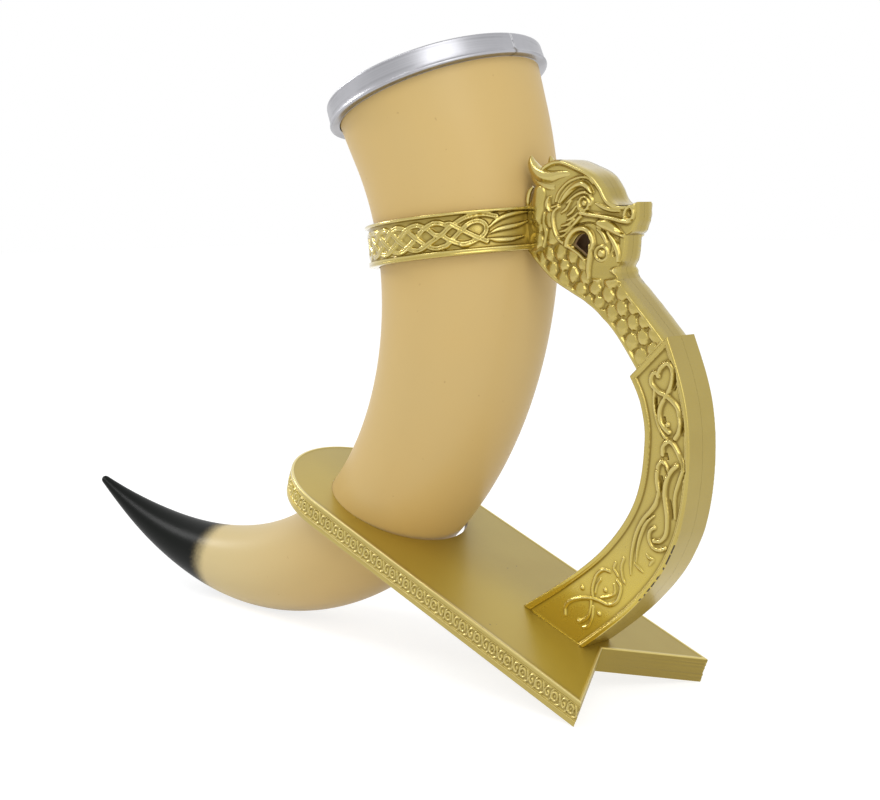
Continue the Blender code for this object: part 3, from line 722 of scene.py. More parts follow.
def join(model, other):
    """Add another model's mesh to this one."""
    mesh = bpy.data.meshes.new("joined")
    bmesh.ops.remove_doubles(other, verts=other.verts, dist=WELD)
    other.to_mesh(mesh)
    other.free()
    model.from_mesh(mesh)
    bpy.data.meshes.remove(mesh)


# Horn

def horn_radius(s):
    """Radius of the horn at s, smooth through its stations."""
    slopes = [(b - a) / (q - p) for a, b, p, q in zip(RADII, RADII[1:], STATIONS, STATIONS[1:])]
    tangents = [slopes[0]] + [(a + b) / 2 for a, b in zip(slopes, slopes[1:])] + [slopes[-1]]
    i = max(k for k in range(len(RADII) - 1) if k == 0 or s >= STATIONS[k])
    run = STATIONS[i + 1] - STATIONS[i]
    t = min(1.0, (s - STATIONS[i]) / run)
    return ((1 + 2 * t) * (1 - t) ** 2 * RADII[i] + t * (1 - t) ** 2 * run * tangents[i]
            + t ** 2 * (3 - 2 * t) * RADII[i + 1] - t ** 2 * (1 - t) * run * tangents[i + 1]
            + TIP_SWELL * math.exp(-((s - TIP_SWELL_AT) / TIP_SWELL_SPAN) ** 2))


def horn_heading(s):
    """Angle of the centre line at s."""
    bent = max(0.0, min(s, EASE_START) - MOUTH_STRAIGHT)
    eased = max(0.0, s - EASE_START)
    return MOUTH_TILT - math.pi / 2 - (bent + eased - eased ** 2 / (2 * EASE_LENGTH)) / BEND_RADIUS


def horn_line():
    """Centre line of the horn, a point each half millimetre, drifting slightly at the lip."""
    run = [np.array(LIP_AT)]
    for k in range(int(HORN_LENGTH * 2)):
        turn = horn_heading((k + 0.5) / 2)
        run.append(run[-1] + 0.5 * np.array((math.cos(turn), 0.0, math.sin(turn))))
    share = np.clip(1 - np.arange(len(run)) / 2 / COLLAR_AT, 0, 1) ** 2
    return np.array(run) + share[:, None] * LIP_DRIFT


HORN_LINE = horn_line()


def horn_centre(s):
    """Point of the centre line at s."""
    k = np.clip(s, 0, HORN_LENGTH) * 2
    return np.array([np.interp(k, np.arange(len(HORN_LINE)), HORN_LINE[:, a]) for a in range(3)])


def horn_ring(s, radius, turns):
    """Points of a round section of the horn; turn 0 is its handle side."""
    heading = horn_heading(min(max(s, 0.0), HORN_LENGTH))
    way = np.array((math.cos(heading), 0.0, math.sin(heading)))
    back = np.array((-way[2], 0.0, way[0]))
    centre = horn_centre(s) + way * (s - np.clip(s, 0, HORN_LENGTH))
    near = np.array((0.0, -1.0, 0.0))
    return centre + radius * (np.cos(turns)[:, None] * back + np.sin(turns)[:, None] * near)


class HORN_OT_cup(bpy.types.Operator):
    """Make the curved ivory cup with its painted tip"""
    bl_idname = "drinking_horn.cup"
    bl_label = "Horn Cup"

    def execute(self, context):
        bore = horn_radius(BORE_END) - HORN_WALL
        edge = LIP_DOWN + LIP_EDGE
        sections = [(BORE_END + bore * math.sin(a), bore * math.cos(a)) for a in END_TURNS]
        sections += [(s, horn_radius(s) - HORN_WALL) for s in np.linspace(BORE_END, edge, BORE_RINGS)]
        sections += [(LIP_DOWN, horn_radius(LIP_DOWN) + inset) for inset in (LIP_EDGE - HORN_WALL, -LIP_EDGE)]
        sections += [(s, horn_radius(s)) for s in np.linspace(edge, HORN_LENGTH, SKIN_RINGS)]
        tip = RADII[-1]
        sections += [(HORN_LENGTH + tip * math.sin(a), tip * math.cos(a)) for a in reversed(END_TURNS)]
        turns = np.linspace(0, 2 * math.pi, HORN_SIDES + 1)
        rings = np.array([horn_ring(s, max(radius, 0.0), turns) for s, radius in sections])
        piece("horn_cup", sheet(rings), "ivory_plastic", ["horn_body"])
        return {"FINISHED"}


class HORN_OT_rim(bpy.types.Operator):
    """Make the silver split rim that caps the lip"""
    bl_idname = "drinking_horn.rim"
    bl_label = "Rim"

    def execute(self, context):
        profile, cove = self.section()
        model = bmesh.new()
        hollow, bright = (model.verts.layers.float.new(name) for name in ("hollow", "ridge"))
        across, aside = math.cos(SEAM_HALF), math.sin(SEAM_HALF)
        verts = [model.verts.new((radius * across, radius * aside, up)) for radius, up in profile]
        # the cove under the bead takes painted shade
        for vert in verts[cove - 4:cove + 2]:
            vert[hollow] = COVE_PAINTED_SHADE
        face = model.faces.new(verts)
        bmesh.ops.spin(
            model, geom=[face] + list(face.edges) + verts, cent=(0, 0, 0), axis=(0, 0, 1), dvec=(0, 0, 0),
            angle=2 * math.pi - 2 * SEAM_HALF, steps=RIM_STEPS, use_duplicate=False, use_merge=False)
        # along the seam: a painted glint in the strip and painted shade in the bead's notch below
        for vert in model.verts:
            x, y, z = vert.co
            if abs(math.atan2(y, x)) < SEAM_MARK and vert.co.xy.length > RIM_INSIDE:
                vert[bright if z > -RIM_STRIP else hollow] = 1.0
            vert.co.z *= 1 + RIM_WEDGE[0] * x + RIM_WEDGE[1] * y
        axis = Vector(RIM_AXIS).normalized()
        side = axis.cross(Vector((math.cos(MOUTH_TILT), 0.0, math.sin(MOUTH_TILT)))).normalized()
        turn = Matrix((side.cross(axis), side, axis)).transposed().to_4x4()
        place = Matrix.Translation(Vector(LIP_AT) + Vector(LIP_DRIFT)) @ turn
        piece("rim", model, "silver_plate", ["rim_ring"], place)
        return {"FINISHED"}

    def section(self):
        """Closed section of the ring in radius and height, and the number of the point that ends its cove."""
        run = [(RIM_TOP - 0.9, 0.0), (RIM_TOP - 0.35, -0.1), (RIM_TOP - 0.08, -0.3), (RIM_TOP, -RIM_EDGE)]
        run += [(RIM_TOP + (RIM_FOOT - RIM_TOP) * k / 6, -RIM_EDGE - (RIM_STRIP - RIM_EDGE) * k / 6)
                for k in range(1, 7)]
        down = RIM_STRIP + RIM_GAP + RIM_BEAD
        bead = RIM_FOOT + RIM_BEAD_STAND - RIM_BEAD
        turns = [math.radians(angle) for angle in range(32, 173, 10)]
        run += [(bead + RIM_BEAD * math.sin(a) * 1.05, RIM_BEAD * math.cos(a) - down) for a in turns]
        low = down + RIM_BEAD + 0.05
        skin = horn_radius(low) + 0.15
        start = run[-1]
        for drop, way in ((0.2, 0.26), (0.45, 0.52), (0.75, 0.8), (1.0, 1.0)):
            run.append((start[0] + (skin + 0.1 - start[0]) * way, start[1] + (-low - start[1]) * drop))
        cove = len(run)
        run += [(skin + 0.05, -low - 0.06), (skin, -low - 0.08)]
        run += [(horn_radius(RIM_SEAT) + 0.3, -RIM_SEAT), (RIM_INSIDE, -RIM_SEAT)]
        run += [(RIM_INSIDE - 0.7, -RIM_SKIRT), (RIM_INSIDE - 1.9, -RIM_SKIRT)]
        run += [(RIM_INSIDE - 1.3, -0.7), (RIM_INSIDE - 0.9, -0.15), (RIM_INSIDE - 0.4, 0.0)]
        return run, cove


# Collar: millimetres, with degrees round the horn and heights on the band for the plait's points
COLLAR_RADIUS = 38.5
COLLAR_HALF = 7.8
COLLAR_TILT = math.radians(6.4)
COLLAR_FIELD = 1.1
COLLAR_CELL = 0.24
COLLAR_COLUMNS = 500
COLLAR_ROWS = 70
COLLAR_ROOM = 0.4
PARTING = 0.06
BORE_ROWS = 8
BORE_TAPER = 0.089
BORE_LEAN = 0.053
RAIL_HEIGHTS = (1.55, 1.2)
RAIL_INSETS = ((1.35, 1.0), (2.3, 1.9))
RAIL_LINE = (1.0, 0.22)
FIELD_INSET = 2.0
WORN_SPAN = (44.0, 64.0)
SHADED_SPAN = (9.0, 24.0)
PLAIT_PITCH = 50.0
PLAIT_RISE = 4.5
PLAIT_STEP = 3.0
PLAIT_STOP = 200.0
PLAIT_HALF = 1.08
PLAIT_HEIGHT = 1.05
PLAIT_WAVE = -0.3
PLAIT_LIFT = 0.1
PLAIT_ENDS = {
    63.0: ((35.6, -3.6, -0.2), (41.8, -1.6, 0.2), (47.4, 0.6, -0.2), (51.1, 2.1, 0.0), (54.9, 3.7, 0.2)),
    75.5: ((46.0, -4.0, -0.2), (51.0, -3.5, -0.1), (55.5, -2.2, 0.2), (60.5, 0.0, -0.2)),
    88.0: ((49.8, -3.9, 0.2), (45.9, -3.8, 0.1), (41.3, -2.8, -0.2), (37.3, -1.4, 0.1), (35.4, 0.7, 0.1),
          (36.2, 2.7, 0.1), (39.4, 3.8, 0.1), (43.3, 3.5, 0.0), (46.6, 2.3, 0.2), (50.7, 0.1, -0.2),
          (56.9, -3.4, 0.2)),
    100.5: ((29.3, 5.0, 0.1), (35.2, 6.0, 0.1), (40.4, 6.1, 0.1), (46.9, 5.3, 0.1), (52.2, 3.7, -0.2),
          (56.3, 2.1, 0.2), (59.1, 0.6, 0.2), (63.3, -0.9, -0.2), (67.7, -2.4, 0.1), (71.5, -3.9, 0.2)),
}
COLLAR_LEAVES = (
    ((35.1, 0.7), (30.2, 3.1), (25.3, 4.6), (18.0, 5.6), (10.2, 6.0)),
    ((34.0, -0.9), (27.8, 0.4), (17.8, 1.3), (10.6, 2.6)),
    ((34.8, -2.8), (29.6, -3.4), (22.0, -3.5), (13.8, -2.7)),
)


def plait(field):
    """Four-strand plait round the band, over and under by turns, with a loop and leaves at the handle."""
    arc = math.radians(1.0) * COLLAR_RADIUS
    for top, end in PLAIT_ENDS.items():
        run = [(a * arc, up, lift) for a, up, lift in end]
        for a in np.arange(end[-1][0] + PLAIT_STEP, PLAIT_STOP, PLAIT_STEP):
            turn = 2 * math.pi * (a - top) / PLAIT_PITCH
            lift = PLAIT_WAVE * math.sin(turn) * math.cos(4 * turn)
            run.append((a * arc, PLAIT_RISE * math.cos(turn), lift))
        run = np.array(run)
        field.strand(run[:, :2], PLAIT_HALF, PLAIT_HEIGHT, lift=run[:, 2] + PLAIT_LIFT, crease=0.6)
    for leaf in COLLAR_LEAVES:
        run = np.array(leaf) * (arc, 1.0)
        half = np.interp(np.linspace(0, 1, len(run)), (0, 0.35, 0.8, 1), (0.3, 1.0, 0.9, 0.4))
        field.strand(run, half, 1.1, crease=0.1)


class HORN_OT_collar(bpy.types.Operator):
    """Make the two plaited half bands round the horn"""
    bl_idname = "drinking_horn.collar"
    bl_label = "Collar"

    def execute(self, context):
        arc = np.linspace(PARTING, COLLAR_RADIUS * math.pi - PARTING, COLLAR_COLUMNS)
        x, y = np.meshgrid(arc, np.linspace(-COLLAR_HALF, COLLAR_HALF, COLLAR_ROWS))
        from_edge = np.minimum(COLLAR_HALF - y, y + COLLAR_HALF)
        field = Carving(x, y)
        plait(field)
        rise = field.rise
        for side, height, (foot, crest) in zip((y, -y), RAIL_HEIGHTS, RAIL_INSETS):
            rise = np.maximum(rise, height * ease(side, COLLAR_HALF - foot, COLLAR_HALF - crest))
        rise -= 0.3 * bell(y, RAIL_LINE[0] - COLLAR_HALF, RAIL_LINE[1])
        worn = ease(x, *WORN_SPAN) * (np.abs(y) < COLLAR_HALF - FIELD_INSET)
        rise = soften(rise, 0.6) * (1 - 0.4 * worn)
        hollow, ridge = painted_relief_light(rise, COLLAR_CELL)
        # painted shade that deepens towards the handle, on top of the painted shade in the hollows
        hollow = hollow * 0.65 + 0.4 * (1 - ease(x, *SHADED_SPAN)) * (1 - ridge)
        rise -= 0.4 * np.exp(-from_edge / 0.18)
        radius = COLLAR_RADIUS - COLLAR_FIELD + rise
        turn = x / COLLAR_RADIUS
        outer = np.stack([radius * np.cos(turn), -radius * np.sin(turn), y], -1)
        rows = []
        for level in np.linspace(COLLAR_HALF, -COLLAR_HALF, BORE_ROWS):
            bore = RADII[1] + BORE_TAPER * level + COLLAR_ROOM
            lean = BORE_LEAN * level - level ** 2 / (2 * BEND_RADIUS)
            ring = (bore * np.cos(turn[0]) + lean, -bore * np.sin(turn[0]), np.full(len(arc), level))
            rows.append(np.stack(ring, -1))
        places = np.concatenate([outer, np.array(rows), outer[:1]])
        # edge gives a painted highlight along the band's edges
        layers = {"hollow": hollow, "ridge": ridge, "edge": np.exp(-from_edge / 0.3)}
        bare = np.zeros((BORE_ROWS, len(arc)))
        numbers = {name: np.concatenate([values, bare, values[:1]]) for name, values in layers.items()}
        model = sheet(places, **numbers)
        bmesh.ops.remove_doubles(model, verts=model.verts, dist=WELD)
        for loop in closed_loops(model):
            fill(model, loop)
        place = Matrix.Translation(horn_centre(COLLAR_AT)) @ Matrix.Rotation(-COLLAR_TILT, 4, "Y")
        halves("collar", model, "gold_paint", place)
        return {"FINISHED"}


# Dragon: millimetres on the handle's plane, as above; a strand or groove is its points, half width and height
EYE_AT = (25.0, 12.7)
JAW_CURL_AT = (32.2, -4.7)
MOUTH_CORNER = (19.7, -1.9)
NOSTRIL_AT = (43.8, 9.3)
DRAGON_HALF = 6.4
SNOUT_NARROWING = 2.1
SNOUT_ROOT = 28.0
SNOUT_LENGTH = 18.0
CHIN_SPAN = (-12.5, -9.0)
DRAGON_EDGE = 0.45
CEILING = 4.0
SNOUT_CEILING = 2.6
SNOUT_FROM = 34.0
PARTING_HALF = 0.03
SCALE_WAY = (0.8, -0.6)
HEAD_WIDER = 1.28
HEAD_HIGHER = 1.15
HEAD_MOAT = 0.12
HEAD_STRANDS = (
    # crown, brow and eye
    (((11.9, 13.6), (13.4, 16.7), (17.0, 19.7), (20.6, 21.2), (24.1, 21.7), (27.1, 21.2), (29.3, 19.4)),
      0.5, 0.7),
    (((13.4, 13.2), (15.2, 16.0), (17.9, 18.5), (21.4, 20.1), (24.1, 20.4)), 0.5, 0.8),
    (((14.7, 13.0), (17.0, 15.7), (20.1, 18.1), (23.6, 19.4), (26.7, 18.3), (28.8, 16.3)),
      (0.35, 0.75, 0.9, 0.95, 0.85, 0.4), 1.5),
    (((17.0, 12.7), (19.6, 14.5), (22.3, 15.9), (25.3, 16.5), (28.0, 15.5)), (0.3, 0.5, 0.6, 0.6, 0.3),
      1.0),
    (((22.3, 13.4), (22.7, 10.8), (24.4, 9.9), (26.6, 10.7)), 0.45, 0.9),
    (((27.5, 15.0), (28.6, 13.7), (27.7, 12.0)), 0.36, 0.7),
    # cheek frill
    (((19.2, 13.5), (16.9, 10.8), (14.7, 9.5)), (0.3, 0.55, 0.4), 0.9),
    (((21.6, 11.8), (19.6, 9.8), (17.4, 8.5)), (0.3, 0.55, 0.4), 0.9),
    (((22.9, 9.9), (20.5, 8.1), (17.4, 6.8)), (0.3, 0.55, 0.4), 0.9),
    (((20.5, 7.1), (17.8, 5.5), (14.7, 4.8)), (0.3, 0.55, 0.4), 0.9),
    (((19.1, 5.1), (16.9, 3.5), (13.8, 2.8)), (0.3, 0.55, 0.4), 0.9),
    (((17.3, 2.8), (15.5, 1.4), (13.3, 1.1)), (0.3, 0.5, 0.4), 0.9),
    (((13.4, 11.5), (10.9, 9.5), (10.6, 6.2), (11.5, 2.8), (13.3, 0.1), (16.0, -1.6)), 0.55, 1.0),
    (((24.4, 8.9), (22.2, 7.1), (19.6, 4.5), (17.3, 1.8), (16.2, -0.9)), 0.68, 0.9),
    # ear and the roots of the horns
    (((3.9, 16.4), (3.4, 11.6), (2.9, 8.2)), (2.4, 2.4, 2.0), 1.1),
    (((9.3, 15.3), (8.2, 13.6), (8.0, 11.9), (9.3, 10.2)), (0.2, 0.7, 0.95, 0.45), 1.3),
    (((9.8, 11.4), (12.9, 12.2)), 0.45, 0.8),
    (((6.4, 9.4), (6.2, 5.6), (7.2, 1.8), (6.0, -2.6)), (0.5, 0.9, 0.8, 0.3), 0.8),
    # snout, nostril and lips
    (((23.6, 9.3), (26.2, 8.9), (30.3, 8.4), (34.1, 7.8), (37.7, 7.2), (40.7, 6.5), (43.0, 6.1)),
      0.75, 1.4),
    (((30.0, 12.6), (33.0, 11.2), (36.4, 10.2), (39.6, 9.8)), (0.3, 0.6, 0.6, 0.3), 0.7),
    (((41.6, 8.3), (42.3, 10.2), (43.6, 11.4), (44.8, 10.7), (45.3, 8.9), (44.7, 7.3), (43.1, 7.0)),
      0.5, 1.0),
    (((41.8, 7.3), (43.6, 6.4)), 0.6, 1.0),
    (((31.7, 5.4), (34.4, 5.1), (37.0, 3.9), (39.6, 2.3), (41.2, 1.4)), (1.4, 1.6, 1.4, 0.9, 0.5), 1.5),
    # mouth and jaw
    (((16.9, -1.9), (17.5, 0.1), (19.1, 2.1), (21.5, 3.5), (24.0, 3.9), (26.4, 3.3), (28.1, 1.6),
      (28.7, -0.9), (28.5, -2.8)), 0.9, 1.3),
    (((16.9, -2.1), (19.5, -3.2), (22.6, -4.9), (25.2, -7.0)), 0.6, 1.0),
    (((27.6, -1.9), (27.8, -4.5), (27.2, -7.2), (26.8, -9.8), (27.0, -13.2)), (0.5, 0.95, 0.95, 0.9, 0.5),
      1.0),
    (((30.5, 3.6), (32.4, 2.4), (33.6, 0.6), (34.2, -1.0)), (0.3, 0.7, 0.7, 0.4), 0.7),
    (((34.9, 2.6), (37.2, -0.5), (38.9, -4.4), (39.0, -7.4)), (0.4, 0.8, 0.8, 0.4), 0.9),
    (((36.6, -10.4), (39.0, -10.6), (41.4, -11.1), (43.0, -11.6)), (0.5, 1.1, 1.1, 0.4), 1.2),
)
HEAD_GROOVES = (
    (((15.2, 13.5), (18.8, 16.6), (21.9, 18.1), (23.6, 18.2)), 0.38, 0.5),
    (((17.6, 1.9), (19.1, 3.6), (21.8, 5.1), (24.9, 5.8), (28.3, 5.8), (31.4, 4.8), (33.8, 2.8),
      (35.3, 0.0), (35.8, -2.7), (35.0, -5.0), (33.5, -6.7)), 0.42, 0.6),
    (((38.4, 3.8), (41.0, 2.2), (43.3, 2.2)), 0.4, 0.6),
    (((27.9, 0.1), (28.1, -1.6), (27.9, -3.1)), 0.6, 0.8),
    (((38.9, 0.6), (40.1, -1.0), (41.6, -2.8)), 1.1, 1.1),
    (((36.5, -4.0), (37.0, -5.0), (36.9, -5.9)), 0.7, 0.8),
    (((40.6, -8.2), (41.8, -7.2), (43.0, -5.9)), 0.9, 0.9),
    (((37.7, -9.2), (40.2, -10.0), (43.1, -10.0), (46.0, -9.6)), 0.55, 1.0),
)
HEAD_FACE = (
    (-10.0, 9.0), (2.0, 9.0), (6.5, 10.5), (10.6, 9.5), (10.6, 6.2), (11.5, 2.8), (13.3, 0.1), (16.5, -2.0),
    (19.5, -3.2), (22.6, -4.9), (25.6, -7.0), (26.4, -10.0), (26.6, -13.4), (33.0, -13.8), (40.2, -13.4),
    (60.0, -13.0), (60.0, 40.0), (-10.0, 40.0),
)
SCALES = (
    (7.9, 7.2), (3.5, 5.5), (9.0, 1.1), (2.8, -0.3), (7.8, -5.4), (13.3, -4.6), (15.0, -8.7), (19.1, -5.6),
    (9.6, -10.1), (19.5, -12.0), (23.9, -8.2), (14.5, -13.4), (5.0, -6.8), (24.9, -12.9), (22.7, -17.0),
    (29.8, -12.2), (29.4, -16.8), (26.6, -21.4), (30.9, -21.6), (35.2, -18.6), (33.0, -26.0), (36.4, -14.4),
    (41.2, -23.2), (36.8, -25.0), (41.4, -18.2), (46.2, -28.0), (41.6, -29.6), (46.6, -22.8), (51.0, -27.4),
    (45.8, -34.2), (50.6, -32.8), (55.2, -31.6), (49.8, -39.4), (55.0, -37.0),
)
HORN_TUBE = (
    (20.4, 22.6, 5.2, 0.4), (17.4, 23.1, 5.5, 1.2), (13.5, 22.9, 5.6, 1.8), (9.9, 22.3, 5.7, 2.3),
    (5.8, 22.6, 5.7, 2.6), (2.1, 24.3, 5.6, 2.5), (-0.1, 26.8, 5.4, 1.9), (-0.8, 28.6, 5.3, 1.1),
    (-1.0, 30.0, 5.2, 0.25),
)
SHEATH_TUBE = (
    (11.2, 18.5, 4.4, 2.2), (7.6, 18.7, 4.5, 2.25), (3.9, 19.6, 4.5, 2.06), (0.9, 21.5, 4.4, 1.7),
    (-0.9, 24.0, 4.3, 1.1), (-1.8, 26.4, 4.2, 0.4),
)
STRIP_TUBE = (
    (-0.7, 18.9, 4.6, 0.5), (-2.0, 17.2, 4.9, 0.95), (-2.7, 15.1, 5.0, 1.0), (-3.0, 13.1, 5.0, 0.9),
    (-3.0, 11.4, 5.0, 0.5),
)


def scales(x, y):
    """Plates of the neck: a domed cell round each centre, its free end raised, and pits where three meet."""
    centres = np.array(SCALES)
    dx, dy = x[..., None] - centres[:, 0], y[..., None] - centres[:, 1]
    along = dx * SCALE_WAY[0] + dy * SCALE_WAY[1]
    across = -dx * SCALE_WAY[1] + dy * SCALE_WAY[0]
    far = np.hypot(along / 1.12, across)
    first, second, third = np.moveaxis(np.partition(far, 2, axis=-1)[..., :3], -1, 0)
    free = np.take_along_axis(along, far.argmin(-1)[..., None], -1)[..., 0]
    rim = (second - first) / 2
    dome = 0.2 * (1 - np.exp(-(rim / 0.7) ** 1.4)) + 0.8 * np.maximum(0, 1 - (first / 3.7) ** 2)
    return dome + 0.13 * free - 1.8 * bell(third - first, 0.0, 0.95)


def dragon_relief(x, y, depth):
    """Carving of the dragon's head and neck."""
    field = Carving(x, y)
    cover = ease(depth_in(x, y, np.array(HEAD_FACE)), -0.3, 0.4)
    field.rise = scales(x, y) * (1 - cover)
    for points, half, height in HEAD_STRANDS:
        field.strand(points, np.asarray(half) * HEAD_WIDER, np.asarray(height) * HEAD_HIGHER, moat=HEAD_MOAT)
    field.ring(EYE_AT, 2.2, 0.55, 1.0)
    field.boss(EYE_AT, 1.25, 1.1)
    round_curl = np.hypot(x - JAW_CURL_AT[0], y - JAW_CURL_AT[1])
    field.rise -= 0.5 * bell(round_curl, 3.3, 0.4)
    field.ring(JAW_CURL_AT, 2.5, 0.65, 0.7)
    field.boss(JAW_CURL_AT, 1.6, 1.3)
    field.boss(MOUTH_CORNER, 0.8, 1.1)
    for points, half, height in HEAD_GROOVES:
        field.groove(points, half, height)
    field.boss(NOSTRIL_AT, 0.75, -0.9)
    edge = np.abs(depth - 1.0)
    crown = ease(y, 8.0, 12.0) * ease(x, 4.0, 6.0)
    throat = ease(-y, 4.0, 7.0) * ease(-y - 0.3 * x, 2.0, 6.0)
    bead = 1.05 * np.maximum(crown, throat) * np.maximum(1 - edge ** 2, 0) ** BOSS_BACK
    field.rise = np.where(edge < 1, np.maximum(field.rise, bead), field.rise)
    return field.rise


def half_wide(x, y):
    """Half width of the dragon, narrowing along the snout."""
    snout = np.clip((x - SNOUT_ROOT) / SNOUT_LENGTH, 0, 1) * ease(y, *CHIN_SPAN)
    return DRAGON_HALF - SNOUT_NARROWING * snout


def at(field, x, y, spots):
    """The field's values at spots between its grid points."""
    column = (spots[:, 0] - x[0, 0]) / (x[0, 1] - x[0, 0])
    row = (spots[:, 1] - y[0, 0]) / (y[1, 0] - y[0, 0])
    i, j = row.astype(int), column.astype(int)
    a, b = row - i, column - j
    return ((1 - a) * ((1 - b) * field[i, j] + b * field[i, j + 1])
            + a * ((1 - b) * field[i + 1, j] + b * field[i + 1, j + 1]))


def cut_sheet(x, y, high, depth, outlines, **numbers):
    """Carved sheet cut off along outlines, the outer one first; gives the model and its clean edges."""
    cell = x[0, 1] - x[0, 0]
    model = sheet(np.stack([x, y, high], -1), depth=depth, **numbers)
    layer = model.verts.layers.float["depth"]
    bmesh.ops.delete(model, geom=[vert for vert in model.verts if vert[layer] < 0.7 * cell], context="VERTS")
    while True:
        thin = [vert for vert in model.verts if sum(edge.is_boundary for edge in vert.link_edges) > 2]
        loose = [vert for vert in model.verts if not vert.link_faces]
        if not thin and not loose:
            break
        bmesh.ops.delete(model, geom=thin + loose, context="VERTS")
    model.verts.layers.float.remove(layer)
    ragged = sorted(closed_loops(model), key=len, reverse=True)
    edges = []
    for k, outline in enumerate(outlines):
        edge = drawn_loop(model, np.column_stack([outline, at(high, x, y, outline)]))
        worn = model.verts.layers.float["edge"]
        for side, value in zip(edge, at(numbers["edge"], x, y, outline)):
            side.verts[0][worn] = value
        fill(model, edge + ragged[k], (0.0, 0.0, 1.0))
        edges.append(edge)
    return model, edges


def grid_over(outline, cell, margin=0.6):
    """Flat grid of points over an outline's box."""
    low, high = outline.min(0) - margin, outline.max(0) + margin
    return np.meshgrid(np.arange(low[0], high[0], cell), np.arange(low[1], high[1], cell))


def rounded(depth, radius):
    """How far a rounded edge falls below the face at this depth inside the outline."""
    inner = np.clip(radius - depth, 0, radius)
    return radius - np.sqrt(np.maximum(radius ** 2 - inner ** 2, 0))


HANDLE_PLACE = Matrix.Translation(HANDLE_AT) @ Matrix.Rotation(math.pi / 2, 4, "X")


class HORN_OT_dragon(bpy.types.Operator):
    """Make the two halves of the dragon's head and neck, each a shell open at the parting face"""
    bl_idname = "drinking_horn.dragon"
    bl_label = "Dragon"

    def execute(self, context):
        cell = looks().carving_cell / MM
        outline, mouth = outline_of(DRAGON_OUTLINE, 0.3), outline_of(MOUTH_HOLE, 0.25)
        x, y = grid_over(outline, cell)
        depth = depth_in(x, y, outline)
        hole = depth_in(x, y, mouth)
        rise = soften(dragon_relief(x, y, depth), 0.7)
        # painted shade in the relief's hollows and on slopes falling along X, painted highlight on its ridges
        # and rising slopes
        hollow, ridge = painted_relief_light(rise, cell, 0.2)
        hollow *= 0.1 + 0.7 * hollow
        body = half_wide(x, y) - rounded(np.maximum(depth, 0), DRAGON_EDGE)
        high = body + rise * ease(depth, 0.0, 0.5) - 0.8 * np.maximum(0.0, 0.7 + hole)
        model, (skin, throat) = cut_sheet(
            x, y, high, np.minimum(depth, -hole), (outline, mouth), hollow=hollow, ridge=ridge,
            edge=0 * rise, inside=0 * rise)
        skin = pulled(model, skin, lambda co: Vector((co.x, co.y, co.z * 0.5)))
        skin = pulled(model, skin, flat_at(PARTING_HALF))
        throat = pulled(model, throat, flat_at(CEILING))
        cavity = drawn_loop(model, [(across, up, PARTING_HALF) for across, up in HEAD_HOLLOW])
        fill(model, skin + cavity)
        roof = pulled(
            model, cavity,
            lambda co: Vector((co.x, co.y, CEILING if co.x < SNOUT_FROM else SNOUT_CEILING)))
        raw = model.verts.layers.float["inside"]
        for edge in cavity + roof + throat:
            edge.verts[0][raw] = edge.verts[1][raw] = 1.0
        fill(model, roof + throat)
        for path in (HORN_TUBE, SHEATH_TUBE, STRIP_TUBE):
            rings = tube(path)
            # the horn tubes carry a fixed painted highlight
            join(model, sheet(rings, ridge=np.full(rings.shape[:2], 0.7)))
        halves("dragon", model, "gold_paint", HANDLE_PLACE)
        return {"FINISHED"}


